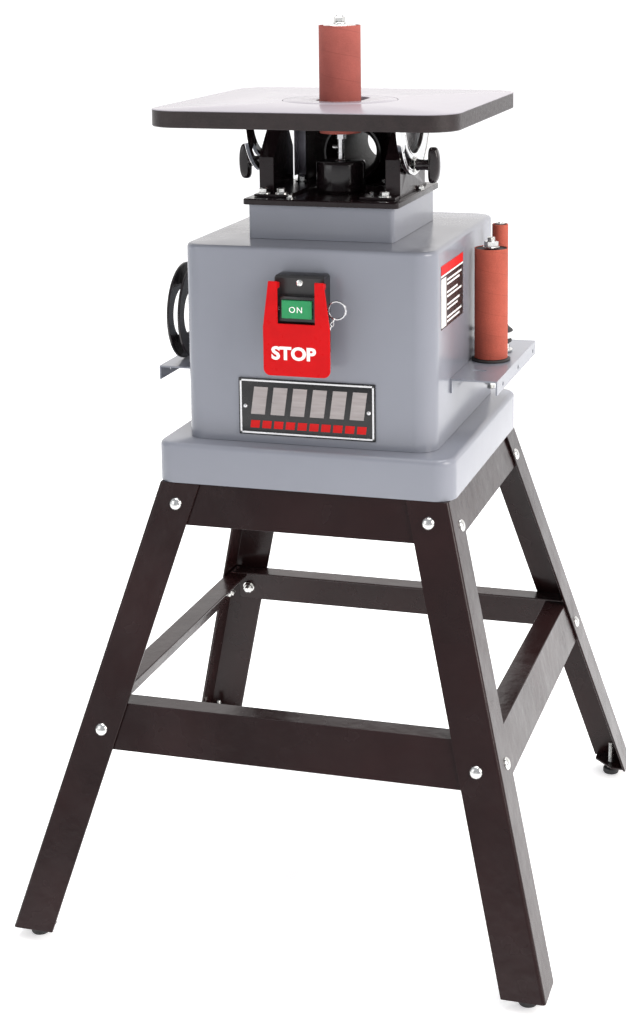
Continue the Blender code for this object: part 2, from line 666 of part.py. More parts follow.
# ---------------------------------------------------------------- dust port
def dust_port():
    """Funnel behind the drum that leads into the hose port."""
    wall, tube, mouth, length = 0.0025, 0.0275, 0.037, 0.160
    outer = [(tube, length), (tube, 0.041), (0.038, 0.041), (0.038, 0.0383), (tube, 0.0383),
             (tube, 0.022), (mouth, 0.0)]
    inner = [(mouth - wall, 0.0), (tube - wall, 0.022), (tube - wall, length)]
    return turned("dust_port", outer + inner, "black_plastic", (0.0, 0.040, 0.900), axis="y", steps=36)


def dust_port_bracket():
    foot_z = PLATE_Z[1] + GAP
    plate = box((-0.0835, 0.075, foot_z), (0.0835, 0.078, 0.940), "frame_black", "dust_port_bracket")
    foot = box((-0.038, 0.052, foot_z), (0.038, 0.0765, foot_z + 0.003))
    bore = rod((0.0, 0.900), 0.0278, 0.06, 0.09, axis="y", sides=ROUND)
    return cut(fuse(plate, foot), bore)


dust_port()
dust_port_bracket()


# ---------------------------------------------------------------- spindle and drum
SPINDLE_ORIGIN = (0.0, SPINDLE_Y, 0.0)

turned("spindle_housing",
       [(0.012, CUP_TOP_Z), (0.0285, CUP_TOP_Z), (0.030, CUP_TOP_Z - 0.0015), (0.030, PLATE_Z[1] + GAP),
        (0.0262, PLATE_Z[1] + GAP), (0.0262, 0.820), (0.0203, 0.820), (0.0203, CUP_TOP_Z - 0.004),
        (0.012, CUP_TOP_Z - 0.004)],
       "frame_black", SPINDLE_ORIGIN, steps=36)


def quill():
    """Oscillating quill with the slotted arm that the crank lifts."""
    body = turned("quill",
                  [(SHAFT_R + GAP, 0.865), (0.020, 0.865), (0.020, 0.7925), (0.027, 0.7925), (0.027, 0.780),
                   (SHAFT_R + GAP, 0.780)],
                  "steel", SPINDLE_ORIGIN, steps=36)
    pin_z = WHEEL_Z - CRANK_R
    low_y, high_y = WHEEL_Y - 0.026, WHEEL_Y + 0.024
    arm = box((0.012, low_y, 0.780), (0.016, SPINDLE_Y - 0.015, 0.792))
    fork = box((0.012, low_y, pin_z - 0.008), (0.016, high_y, 0.790))
    slot = box((0.005, WHEEL_Y - CRANK_R - 0.005, pin_z - 0.0045),
               (0.02, WHEEL_Y + CRANK_R + 0.005, pin_z + 0.0045))
    return cut(fuse(body, arm, fork), slot)


def spindle_shaft():
    """Shaft with the drum's lower flange and nut, and the clamp screw in its side."""
    shaft = turned("spindle_shaft",
                   [(0.0, 1.072), (0.0044, 1.072), (ARBOR_R, 1.0714), (ARBOR_R, FLANGE_Z[1]),
                    (0.0225, FLANGE_Z[1]), (0.0225, FLANGE_Z[0]), (0.004, FLANGE_Z[0]), (0.004, 0.897),
                    (SHAFT_R, 0.893), (SHAFT_R, 0.690), (0.0, 0.690)],
                   "steel", SPINDLE_ORIGIN, closed=False, steps=32)
    nut = rod(SPINDLE_XY, 0.0070, FLANGE_Z[0] - 0.0075, FLANGE_Z[0] + 0.0005, sides=6)
    screw = rod((SPINDLE_Y, 0.912), 0.003, -0.010, -0.002, axis="x", sides=6)
    return fuse(shaft, nut, screw)


quill()
spindle_shaft()
BORE = ARBOR_R + GAP
turned("drum_core", [(BORE, DRUM_Z[1] - 0.0015), (DRUM_R - SLEEVE - GAP, DRUM_Z[1] - 0.0015),
                     (DRUM_R - SLEEVE - GAP, FLANGE_Z[1] + GAP), (BORE, FLANGE_Z[1] + GAP)],
       "rubber", SPINDLE_ORIGIN, steps=40)
turned("sanding_sleeve", [(DRUM_R - SLEEVE, DRUM_Z[1]), (DRUM_R, DRUM_Z[1]), (DRUM_R, DRUM_Z[0]),
                          (DRUM_R - SLEEVE, DRUM_Z[0])], "abrasive", SPINDLE_ORIGIN)
turned("drum_washer", [(BORE, 1.0635), (0.008, 1.0635), (0.008, 1.0618), (0.017, 1.0610), (0.020, 1.0588),
                       (BORE, 1.0588)], "zinc", SPINDLE_ORIGIN, steps=SMALL_ROUND)
cut(rod(SPINDLE_XY, 0.0072, 1.0638, 1.0700, sides=6, colour="zinc", name="drum_nut",
        origin=(*SPINDLE_XY, 1.0638)),
    rod(SPINDLE_XY, BORE, 1.05, 1.08))


# ---------------------------------------------------------------- drive
def groove(half_width=0.011):
    """Outer profile of a pulley, top to bottom, with one V groove at the belt's height."""
    root = 0.0265
    return [(PULLEY_R, GROOVE_Z + half_width), (PULLEY_R, GROOVE_Z + 0.007), (root, GROOVE_Z + 0.0035),
            (root, GROOVE_Z - 0.0035), (PULLEY_R, GROOVE_Z - 0.007), (PULLEY_R, GROOVE_Z - half_width)]


def spindle_pulley():
    """Pulley that turns at a fixed height on the sliding shaft; its hub carries the worm."""
    root = WORM_R - 0.0035
    worm = []
    for ridge in range(6):
        top = 0.769 - ridge * 0.006
        worm += [(root, top), (WORM_R, top - 0.003)]
    profile = [(SHAFT_R + GAP, 0.771), (root, 0.771)] + worm + [(root, GROOVE_Z + 0.011)] + groove()
    profile += [(0.0147, GROOVE_Z - 0.011), (0.0147, 0.692), (SHAFT_R + GAP, 0.692)]
    return turned("spindle_pulley", profile, "cast_iron", SPINDLE_ORIGIN, steps=32)


def worm_wheel():
    """Toothed wheel with the crank pin that works the quill's arm."""
    outline = []
    centre = (WHEEL_Y, WHEEL_Z)
    for tooth in range(WHEEL_TEETH):
        start = 360 * tooth / WHEEL_TEETH
        for offset, radius in ((0, WHEEL_R - 0.0025), (4, WHEEL_R), (9, WHEEL_R), (13, WHEEL_R - 0.0025)):
            outline += arc(centre, radius, start + offset, start + offset, 1)[:1]
    wheel = prism(outline, "x", -0.005, 0.005, "steel", "worm_wheel", origin=(0.0, *centre))
    pin = rod((WHEEL_Y, WHEEL_Z - CRANK_R), 0.004, 0.004, 0.011, axis="x", sides=16)
    bore = rod(centre, 0.0053, -0.01, 0.01, axis="x")
    return cut(fuse(wheel, pin), bore)


def stadium(radius):
    return arc((0.0, MOTOR_Y), radius, 0, 180, 20) + arc((0.0, SPINDLE_Y), radius, 180, 360, 20)


def motor_mount():
    """Plate that carries the motor, the lower spindle bearing and the worm wheel's axle."""
    low, high = 0.694, 0.6997
    plate = box((-0.060, -0.085, low), (0.060, 0.150, high), "motor", "motor_mount")
    reach = CAB_X - CAB_WALL - GAP
    arms = box((-reach, 0.015, low), (reach, 0.065, high))
    pieces = [arms]
    for side in SIDES.values():
        a, b = sorted((side * (reach - 0.003), side * reach))
        pieces.append(box((a, 0.010, 0.680), (b, 0.070, 0.720)))
    pieces.append(box((-0.016, WHEEL_Y - 0.010, high - 0.001), (-0.011, WHEEL_Y + 0.005, WHEEL_Z + 0.010)))
    pieces.append(rod((WHEEL_Y, WHEEL_Z), 0.005, -0.0155, 0.0066, axis="x"))
    spindle_hole = rod(SPINDLE_XY, 0.0152, low - 0.01, high + 0.002, sides=32)
    motor_hole = rod((0.0, MOTOR_Y), 0.0120, low - 0.01, high + 0.002)
    return cut(fuse(plate, *pieces), spindle_hole, motor_hole)


spindle_pulley()
worm_wheel()
motor_mount()
MOTOR_ORIGIN = (0.0, MOTOR_Y, 0.0)
turned("motor_pulley", [(SHAFT_R + GAP, GROOVE_Z + 0.011)] + groove() + [(SHAFT_R + GAP, GROOVE_Z - 0.011)],
       "cast_iron", MOTOR_ORIGIN, steps=32)
turned("motor_housing", [(0.0086, 0.6935), (0.054, 0.6935), (0.060, 0.6875), (0.060, 0.598), (0.054, 0.592),
                         (0.0086, 0.592)], "motor", MOTOR_ORIGIN, steps=32)
turned("motor_shaft", [(0.0, 0.729), (SHAFT_R, 0.729), (SHAFT_R, 0.587), (0.036, 0.587), (0.036, 0.584),
                       (SHAFT_R, 0.582), (SHAFT_R, 0.578), (0.0, 0.578)],
       "steel", MOTOR_ORIGIN, closed=False, steps=SMALL_ROUND)
cut(prism(stadium(0.0335), "z", GROOVE_Z - 0.003, GROOVE_Z + 0.003, "rubber", "drive_belt"),
    prism(stadium(0.0285), "z", GROOVE_Z - 0.01, GROOVE_Z + 0.01))
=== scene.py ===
"""Looks of the oscillating spindle sander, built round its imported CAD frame.  Metres, +Z up, front at -Y."""
import math

import bmesh
import bpy
from mathutils import Matrix, Vector


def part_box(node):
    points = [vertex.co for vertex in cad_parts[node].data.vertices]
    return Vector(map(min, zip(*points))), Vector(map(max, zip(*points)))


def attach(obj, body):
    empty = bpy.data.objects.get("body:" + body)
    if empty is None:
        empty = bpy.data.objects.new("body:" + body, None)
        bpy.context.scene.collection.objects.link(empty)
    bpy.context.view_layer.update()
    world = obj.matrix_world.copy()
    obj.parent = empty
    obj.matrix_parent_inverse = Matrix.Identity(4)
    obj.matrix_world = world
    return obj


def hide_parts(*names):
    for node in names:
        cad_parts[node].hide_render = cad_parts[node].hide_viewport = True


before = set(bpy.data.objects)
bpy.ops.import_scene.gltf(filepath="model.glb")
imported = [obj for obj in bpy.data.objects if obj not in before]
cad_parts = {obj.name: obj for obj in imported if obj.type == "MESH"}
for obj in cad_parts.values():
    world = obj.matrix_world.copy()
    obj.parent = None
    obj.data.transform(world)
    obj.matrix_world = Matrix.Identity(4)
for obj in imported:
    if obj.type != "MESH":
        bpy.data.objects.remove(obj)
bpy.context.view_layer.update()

SIDES = {"left": -1, "right": 1}
ENDS = {"front": -1, "rear": 1}
SPINDLE_Y = -0.010
SPINDLE = (0.0, SPINDLE_Y, 0.0)
AIR = 0.0003                 # gap between a stored drum and the washer on top of it
TABLE_TOP = 0.970
TABLE_UNDERSIDE = 0.950
CABINET_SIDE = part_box("cabinet_shell")[1].x


# ---------------------------------------------------------------- materials
def finish(name, colour, rough, metal=0.0, coat=0.0, mottle=0.06, mottle_scale=18.0, rough_vary=0.06,
           bumps=(), stretch=(1.0, 1.0, 1.0), second=None, second_amount=0.5, specular=0.5, cells=0.0):
    """Principled material: noise varies the colour towards a second one, the roughness and the relief.

    bumps lists (scale per metre, height in metres) of each layer of relief, coarse to fine.
    """
    mat = bpy.data.materials.new(name)
    mat.use_nodes = True
    nodes, links = mat.node_tree.nodes, mat.node_tree.links
    shader = nodes["Principled BSDF"]
    shader.inputs["Metallic"].default_value = metal
    shader.inputs["Coat Weight"].default_value = coat
    shader.inputs["Coat Roughness"].default_value = 0.06
    shader.inputs["Specular IOR Level"].default_value = specular
    coords = nodes.new("ShaderNodeTexCoord")
    mapping = nodes.new("ShaderNodeMapping")
    mapping.inputs["Scale"].default_value = stretch
    links.new(coords.outputs["Object"], mapping.inputs["Vector"])

    def noise(scale, detail=3.0):
        """Noise from 0 to 1 in the object's own space."""
        texture = nodes.new("ShaderNodeTexNoise")
        texture.inputs["Scale"].default_value = scale
        texture.inputs["Detail"].default_value = detail
        links.new(mapping.outputs["Vector"], texture.inputs["Vector"])
        return texture.outputs["Fac"]

    def spread(value, low, high):
        """Stretch the middle of a noise over low to high."""
        rescale = nodes.new("ShaderNodeMapRange")
        rescale.inputs["From Min"].default_value = 0.3
        rescale.inputs["From Max"].default_value = 0.7
        rescale.inputs["To Min"].default_value = low
        rescale.inputs["To Max"].default_value = high
        links.new(value, rescale.inputs["Value"])
        return rescale.outputs["Result"]

    def blend(amount, first, other):
        """Mix two colours by an amount."""
        mix = nodes.new("ShaderNodeMix")
        mix.data_type = "RGBA"
        for socket, value in (("A", first), ("B", other)):
            target = next(s for s in mix.inputs if s.name == socket and s.type == "RGBA")
            if isinstance(value, bpy.types.NodeSocket):
                links.new(value, target)
            else:
                target.default_value = (*value, 1.0)
        links.new(amount, mix.inputs["Factor"])
        return next(s for s in mix.outputs if s.type == "RGBA")

    dark = tuple(c * (1.0 - mottle) for c in colour)
    light = tuple(min(1.0, c * (1.0 + mottle)) for c in colour)
    shade = blend(spread(noise(mottle_scale), 0.0, 1.0), dark, light)
    if second is not None:
        shade = blend(spread(noise(bumps[-1][0] if bumps else 300.0, 2.0), 0.0, second_amount), shade, second)
    if cells:
        flakes = nodes.new("ShaderNodeTexVoronoi")
        flakes.inputs["Scale"].default_value = cells
        links.new(mapping.outputs["Vector"], flakes.inputs["Vector"])
        grey = nodes.new("ShaderNodeRGBToBW")
        links.new(flakes.outputs["Color"], grey.inputs["Color"])
        shade = blend(spread(grey.outputs["Val"], 0.0, 0.35), shade, tuple(c * 0.7 for c in colour))
    links.new(shade, shader.inputs["Base Color"])
    roughness = spread(noise(mottle_scale * 2.3), rough - rough_vary, rough + rough_vary)
    links.new(roughness, shader.inputs["Roughness"])
    relief = None
    for scale, height in bumps:
        bump = nodes.new("ShaderNodeBump")
        bump.inputs["Distance"].default_value = height
        links.new(noise(scale, 2.0), bump.inputs["Height"])
        if relief is not None:
            links.new(relief, bump.inputs["Normal"])
        relief = bump.outputs["Normal"]
    if relief is not None:
        links.new(relief, shader.inputs["Normal"])
    return mat


ENAMEL = finish("stand_enamel", (0.016, 0.006, 0.006), 0.24, mottle=0.25, mottle_scale=9.0,
                bumps=((60.0, 0.0004), (420.0, 0.00003)), specular=0.30)
GREY_PAINT = finish("cabinet_powder_coat", (0.215, 0.225, 0.260), 0.20, mottle=0.04, mottle_scale=6.0,
                    bumps=((45.0, 0.0002), (900.0, 0.00003)), rough_vary=0.04)
BLACK_PAINT = finish("frame_enamel", (0.011, 0.006, 0.007), 0.20, mottle=0.2, mottle_scale=25.0,
                     bumps=((90.0, 0.0002), (600.0, 0.00003)), specular=0.28)
LAMINATE = finish("table_laminate", (0.272, 0.254, 0.280), 0.18, mottle=0.012, mottle_scale=30.0,
                  bumps=((900.0, 0.000002),), second=(0.252, 0.235, 0.266), second_amount=0.4,
                  rough_vary=0.01, specular=0.10)
EDGE_BAND = finish("table_edge_band", (0.012, 0.007, 0.007), 0.36, mottle=0.35, mottle_scale=90.0,
                   bumps=((350.0, 0.0002), (1200.0, 0.00015)), second=(0.030, 0.020, 0.020),
                   second_amount=0.5, specular=0.35)
UNDERSIDE = finish("table_backer", (0.022, 0.015, 0.014), 0.50, mottle=0.2, bumps=((500.0, 0.0001),))
INSERT = finish("insert_plastic", (0.262, 0.244, 0.272), 0.19, mottle=0.02, mottle_scale=60.0,
                bumps=((900.0, 0.000003),), rough_vary=0.01, specular=0.10)
ZINC = finish("bright_zinc", (0.72, 0.72, 0.70), 0.20, metal=1.0, mottle=0.10, mottle_scale=140.0,
              rough_vary=0.09, bumps=((260.0, 0.00006), (1500.0, 0.00002)), cells=420.0)
PLATED = finish("polished_plating", (0.80, 0.80, 0.80), 0.12, metal=1.0, mottle=0.06, mottle_scale=50.0,
                bumps=((150.0, 0.00008),), rough_vary=0.05)
STEEL = finish("ground_steel", (0.60, 0.60, 0.61), 0.24, metal=1.0, mottle=0.08, mottle_scale=80.0,
               bumps=((900.0, 0.00003),), stretch=(0.35, 0.35, 3.0))
CAST = finish("machined_iron", (0.10, 0.10, 0.105), 0.48, metal=0.8, mottle=0.2, mottle_scale=120.0,
              bumps=((500.0, 0.0001),))
RUBBER = finish("black_rubber", (0.022, 0.021, 0.021), 0.62, mottle=0.2, mottle_scale=110.0,
                bumps=((700.0, 0.00008),))
BLACK_PLASTIC = finish("black_moulding", (0.013, 0.012, 0.013), 0.34, mottle=0.15, mottle_scale=70.0,
                       bumps=((1100.0, 0.00006),), coat=0.1)
GLOSS_BLACK = finish("gloss_black_moulding", (0.012, 0.008, 0.009), 0.16, mottle=0.15, mottle_scale=60.0,
                     bumps=((300.0, 0.00003),), coat=0.1, specular=0.4)
RED_PLASTIC = finish("red_moulding", (0.520, 0.003, 0.005), 0.32, mottle=0.06, mottle_scale=70.0,
                     bumps=((900.0, 0.00003),), specular=0.12)
GREEN_PLASTIC = finish("green_moulding", (0.020, 0.250, 0.088), 0.36, mottle=0.06, mottle_scale=90.0,
                       bumps=((900.0, 0.00003),), specular=0.3)
WHITE_PAINT = finish("white_print", (0.86, 0.85, 0.83), 0.45, mottle=0.03, mottle_scale=90.0,
                     bumps=((900.0, 0.00001),))
MOTOR_PAINT = finish("motor_enamel", (0.050, 0.058, 0.066), 0.42, mottle=0.15, bumps=((400.0, 0.00012),))
PLATE_BLACK = finish("nameplate_black", (0.012, 0.012, 0.013), 0.30, metal=0.2, mottle=0.12,
                     mottle_scale=60.0, bumps=((1200.0, 0.00002),))
PLATE_SILVER = finish("nameplate_silver", (0.62, 0.62, 0.63), 0.34, metal=1.0, mottle=0.06, mottle_scale=90.0,
                      bumps=((1000.0, 0.00002),), stretch=(0.2, 1.0, 4.0))
PLATE_GREY = finish("nameplate_grey", (0.330, 0.300, 0.295), 0.42, mottle=0.10, mottle_scale=120.0,
                    bumps=((1400.0, 0.00003),), stretch=(0.3, 1.0, 3.0), specular=0.25)
LABEL_RED = finish("label_red", (0.560, 0.012, 0.012), 0.42, mottle=0.04, bumps=((800.0, 0.00001),),
                   specular=0.12)
# Pale lavender metal, used only for the strips by the dust port. Its colour is painted reflection of the
# bright surroundings in the glossy black bracket.
PAINTED_REFLECTION_METAL = finish("painted_reflection_metal", (0.36, 0.35, 0.40), 0.42, metal=0.7, mottle=0.10, mottle_scale=90.0,
                   bumps=((500.0, 0.00005),))
FLOOR = finish("pale_floor", (0.93, 0.93, 0.93), 0.75, mottle=0.008, mottle_scale=1.5,
               bumps=((60.0, 0.0001),), specular=0.1)
FLOOR.node_tree.nodes["Principled BSDF"].inputs["Emission Color"].default_value = (1.0, 1.0, 1.0, 1.0)
FLOOR.node_tree.nodes["Principled BSDF"].inputs["Emission Strength"].default_value = 0.45


def abrasive(name, colour, pitch=0.030, height=0.00035):
    """Abrasive cloth: coloured grit on a spiral-wound sleeve whose seams show as fine darker lines."""
    mat = finish(name, colour, 0.78, mottle=0.10, mottle_scale=45.0, rough_vary=0.04,
                 bumps=((500.0, height * 0.6), (1500.0, height)), second=tuple(c * 0.45 for c in colour),
                 second_amount=0.6, specular=0.3)
    nodes, links = mat.node_tree.nodes, mat.node_tree.links
    shader = nodes["Principled BSDF"]
    coords = next(n for n in nodes if n.type == "TEX_COORD")
    split = nodes.new("ShaderNodeSeparateXYZ")
    links.new(coords.outputs["Object"], split.inputs["Vector"])

    def maths(operation, first, other):
        """One arithmetic step on numbers or sockets."""
        node = nodes.new("ShaderNodeMath")
        node.operation = operation
        for socket, value in zip(node.inputs, (first, other)):
            if isinstance(value, bpy.types.NodeSocket):
                links.new(value, socket)
            else:
                socket.default_value = value
        return node.outputs[0]

    turn = maths("DIVIDE", maths("ARCTAN2", split.outputs["Y"], split.outputs["X"]), 2 * math.pi)
    winding = maths("ADD", turn, maths("DIVIDE", split.outputs["Z"], pitch))
    seam = maths("LESS_THAN", maths("FRACT", winding, 0.0), 0.035)
    mix = nodes.new("ShaderNodeMix")
    mix.data_type = "RGBA"
    base = shader.inputs["Base Color"].links[0].from_socket
    first, other = [s for s in mix.inputs if s.type == "RGBA"]
    links.new(base, first)
    other.default_value = (*(c * 0.62 for c in colour), 1.0)
    links.new(maths("MULTIPLY", seam, 0.55), mix.inputs["Factor"])
    links.new(next(s for s in mix.outputs if s.type == "RGBA"), shader.inputs["Base Color"])
    return mat


CLOTH = abrasive("abrasive_cloth", (0.400, 0.102, 0.080))
CLOTH_STORED = abrasive("stored_abrasive_cloth", (0.470, 0.098, 0.062), pitch=0.026)


# ---------------------------------------------------------------- shape helpers
def rounded_rectangle(x0, x1, y0, y1, radius, inset=0.0, steps=12):
    """Points of a rectangle with round corners, moved inwards by inset."""
    r = max(radius - inset, 0.0001)
    x0, x1, y0, y1 = x0 + inset, x1 - inset, y0 + inset, y1 - inset
    points = []
    corners = ((x1 - r, y0 + r, 270), (x1 - r, y1 - r, 0), (x0 + r, y1 - r, 90), (x0 + r, y0 + r, 180))
    for cx, cy, start in corners:
        points += arc((cx, cy), r, start, start + 90, steps)
    return points


def arc(centre, radius, start, end, steps):
    """Points of an arc between two angles in degrees."""
    points = []
    for i in range(steps + 1):
        angle = math.radians(start + (end - start) * i / steps)
        points.append((centre[0] + radius * math.cos(angle), centre[1] + radius * math.sin(angle)))
    return points


def facing(point, direction):
    """Placement that takes +Z to a direction at a point."""
    return Matrix.Translation(point) @ Vector(direction).to_track_quat("Z", "Y").to_matrix().to_4x4()


def thread(radius, top, bottom, pitch=0.0010, depth=0.0004):
    """Profile points of a threaded length, from its top down."""
    points = []
    turns = max(1, round((top - bottom) / pitch))
    for i in range(turns):
        z = top - (top - bottom) * i / turns
        points += [(radius, z), (radius - depth, z - (top - bottom) / turns / 2)]
    return points + [(radius, bottom)]


class Shape:
    """Collects solids into one mesh; each solid takes the material index in force when it is added."""

    def __init__(self):
        self.bm = bmesh.new()
        self.index = 0

    def use(self, index):
        self.index = index
        return self

    def _placed(self, points, at):
        return [self.bm.verts.new(at @ Vector(p) if at else Vector(p)) for p in points]

    def _face(self, corners):
        face = self.bm.faces.new(corners)
        face.material_index = self.index
        return face

    def turn(self, profile, at=None, steps=48):
        """Solid of revolution about +Z from (radius, height) points, closed if it is off the axis."""
        closed = profile[0][0] > 0 or profile[-1][0] > 0
        rings = []
        for radius, height in profile:
            if radius <= 0:
                rings.append(self._placed([(0, 0, height)], at))
            else:
                rings.append(self._placed([(radius * math.cos(2 * math.pi * i / steps),
                                            radius * math.sin(2 * math.pi * i / steps), height)
                                           for i in range(steps)], at))
        pairs = list(zip(rings, rings[1:])) + ([(rings[-1], rings[0])] if closed else [])
        for upper, lower in pairs:
            for i in range(steps):
                j = (i + 1) % steps
                corners = [upper[i % len(upper)], upper[j % len(upper)]]
                corners += [lower[j % len(lower)], lower[i % len(lower)]]
                unique = list(dict.fromkeys(corners))
                if len(unique) > 2:
                    self._face(unique)
        return self

    def loft(self, loops, at=None, cap=True):
        """Solid through closed loops of the same number of 3-D points."""
        rings = [self._placed(loop, at) for loop in loops]
        for upper, lower in zip(rings, rings[1:]):
            for i in range(len(upper)):
                j = (i + 1) % len(upper)
                self._face([upper[i], upper[j], lower[j], lower[i]])
        if cap:
            self._face(rings[0])
            self._face(rings[-1])
        return self

    def slab(self, outers, inners, at=None):
        """Plate with a hole: outer and inner loops from the top face's rims to the bottom face's rims."""
        rims = []
        for loops in (outers, inners):
            rings = [self._placed(loop, at) for loop in loops]
            for upper, lower in zip(rings, rings[1:]):
                for i in range(len(upper)):
                    j = (i + 1) % len(upper)
                    self._face([upper[i], upper[j], lower[j], lower[i]])
            rims.append((rings[0], rings[-1]))
        for end in (0, 1):
            edges = []
            for pair in rims:
                ring = pair[end]
                edges += [self.bm.edges.get((ring[i], ring[(i + 1) % len(ring)])) for i in range(len(ring))]
            filled = bmesh.ops.triangle_fill(self.bm, use_beauty=True, edges=edges)
            for item in filled["geom"]:
                if isinstance(item, bmesh.types.BMFace):
                    item.material_index = self.index
        return self

    def hexagon(self, across, low, high, at=None, chamfer=0.0006, turn=0.0):
        """Hexagonal nut or bolt head with its corners chamfered at the top."""
        radius = across / math.sqrt(3)
        loops = []
        for shrink, z in ((chamfer * 1.6, high), (0.0, high - chamfer), (0.0, low)):
            loops.append([((radius - shrink) * math.cos(math.radians(60 * i + turn)),
                           (radius - shrink) * math.sin(math.radians(60 * i + turn)), z) for i in range(6)])
        return self.loft(loops, at)

    def block(self, low, high, edge=0.0005, steps=2):
        """Box with rounded edges."""
        made = bmesh.new()
        low, high = Vector(low), Vector(high)
        place = Matrix.Translation((low + high) / 2) @ Matrix.Diagonal((*(high - low), 1.0))
        bmesh.ops.create_cube(made, size=1.0, matrix=place)
        bmesh.ops.bevel(made, geom=list(made.edges), offset=edge, segments=steps, profile=0.5,
                        affect="EDGES")
        return self.take(made)

    def take(self, made):
        """Add another bmesh's faces, and free it."""
        twins = {v: self.bm.verts.new(v.co) for v in made.verts}
        for face in made.faces:
            self._face([twins[v] for v in face.verts])
        made.free()
        return self

    def piece(self, name, mats, body, slot, stands_for=(), sharp=35, origin=(0, 0, 0)):
        """Finish the mesh as a named piece that rides on a body."""
        bmesh.ops.recalc_face_normals(self.bm, faces=self.bm.faces)
        bmesh.ops.translate(self.bm, verts=self.bm.verts, vec=-Vector(origin))
        mesh = bpy.data.meshes.new(name)
        self.bm.to_mesh(mesh)
        self.bm.free()
        for mat in mats if isinstance(mats, (list, tuple)) else [mats]:
            mesh.materials.append(mat)
        mesh.shade_smooth()
        mesh.set_sharp_from_angle(angle=math.radians(sharp))
        obj = bpy.data.objects.new(name, mesh)
        obj.location = origin
        bpy.context.scene.collection.objects.link(obj)
        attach(obj, body)
        if stands_for:
            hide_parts(*([stands_for] if isinstance(stands_for, str) else stands_for))
        return obj


def soften(obj, width=0.0006, steps=2, angle=35):
    """Round the sharp edges a little, as pressed and moulded parts have them."""
    bevel = obj.modifiers.new("soften", "BEVEL")
    bevel.width = width
    bevel.segments = steps
    bevel.limit_method = "ANGLE"
    bevel.angle_limit = math.radians(angle)
    bevel.use_clamp_overlap = True
    return obj


def refined(node, mats, body, slot, width=0.0006, steps=2):
    """The CAD node's own shape, welded, with softened edges and smooth shading."""
    shape = Shape()
    shape.bm.from_mesh(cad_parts[node].data)
    for face in shape.bm.faces:
        face.material_index = 0
    bmesh.ops.remove_doubles(shape.bm, verts=shape.bm.verts, dist=0.00001)
    bmesh.ops.dissolve_limit(shape.bm, angle_limit=math.radians(0.5), verts=shape.bm.verts,
                             edges=shape.bm.edges)
    obj = shape.piece("look_" + node, mats, body, slot, node)
    return soften(obj, width, steps) if width else obj


def carve(obj, cutters):
    """Subtract the cutters' solids for good, and remove them."""
    for cutter in cutters:
        modifier = obj.modifiers.new("carve", "BOOLEAN")
        modifier.operation = "DIFFERENCE"
        modifier.solver = "EXACT"
        modifier.object = cutter
    bpy.context.view_layer.update()
    graph = bpy.context.evaluated_depsgraph_get()
    mesh = bpy.data.meshes.new_from_object(obj.evaluated_get(graph))
    obj.modifiers.clear()
    obj.data = mesh
    for cutter in cutters:
        bpy.data.objects.remove(cutter)
    mesh.shade_smooth()
    mesh.set_sharp_from_angle(angle=math.radians(35))
    return obj


def cutter_block(low, high):
    """Box that carve can subtract."""
    made = bmesh.new()
    low, high = Vector(low), Vector(high)
    place = Matrix.Translation((low + high) / 2) @ Matrix.Diagonal((*(high - low), 1.0))
    bmesh.ops.create_cube(made, size=1.0, matrix=place)
    mesh = bpy.data.meshes.new("cutter")
    made.to_mesh(mesh)
    made.free()
    obj = bpy.data.objects.new("cutter", mesh)
    bpy.context.scene.collection.objects.link(obj)
    return obj


def lettering(name, words, height, at, mat, body, slot, bold=0.0, spacing=1.0, stretch=1.0):
    """Lettering raised 0.3 mm, facing the operator."""
    curve = bpy.data.curves.new(name, "FONT")
    curve.body = words
    curve.size = height
    curve.align_x = "CENTER"
    curve.align_y = "CENTER"
    curve.extrude = 0.0003
    curve.offset = bold
    curve.space_character = spacing
    curve.resolution_u = 4
    text = bpy.data.objects.new(name + "_curve", curve)
    text.matrix_world = (Matrix.Translation(at) @ Matrix.Rotation(math.pi / 2, 4, "X")
                         @ Matrix.Diagonal((stretch, 1.0, 1.0, 1.0)))
    bpy.context.scene.collection.objects.link(text)
    bpy.context.view_layer.update()
    mesh = bpy.data.meshes.new_from_object(text.evaluated_get(bpy.context.evaluated_depsgraph_get()))
    mesh.transform(text.matrix_world)
    shape = Shape()
    shape.bm.from_mesh(mesh)
    bmesh.ops.remove_doubles(shape.bm, verts=shape.bm.verts, dist=0.00001)
    bpy.data.objects.remove(text)
    return shape.piece(name, mat, body, slot, sharp=30)


# ---------------------------------------------------------------- stand
LEG_TOP = (0.176, 0.186)
LEAN = 0.27626               # outward lean of every leg face for each metre down
STAND_TOP = 0.528

for end_name, end in ENDS.items():
    for side_name, side in SIDES.items():
        refined(f"leg_{end_name}_{side_name}", ENAMEL, "frame", "stand_black", 0.0007)
    for kind in ("rail", "brace"):
        refined(f"stand_{kind}_{end_name}", ENAMEL, "frame", "stand_black", 0.0007)
for side_name in SIDES:
    for kind in ("rail", "brace"):
        refined(f"stand_{kind}_{side_name}", ENAMEL, "frame", "stand_black", 0.0007)


def leaning_face(direction, along, height, sink=0.0):
    """Point and outward normal on a leg face; direction is x or y with a sign, along the other axis."""
    axis, sign = direction
    out = LEG_TOP[axis] + LEAN * (STAND_TOP - height) - sink
    point = [0.0, 0.0, height]
    point[axis] = sign * out
    point[1 - axis] = along
    normal = [0.0, 0.0, LEAN]
    normal[axis] = sign
    return Vector(point), Vector(normal).normalized()


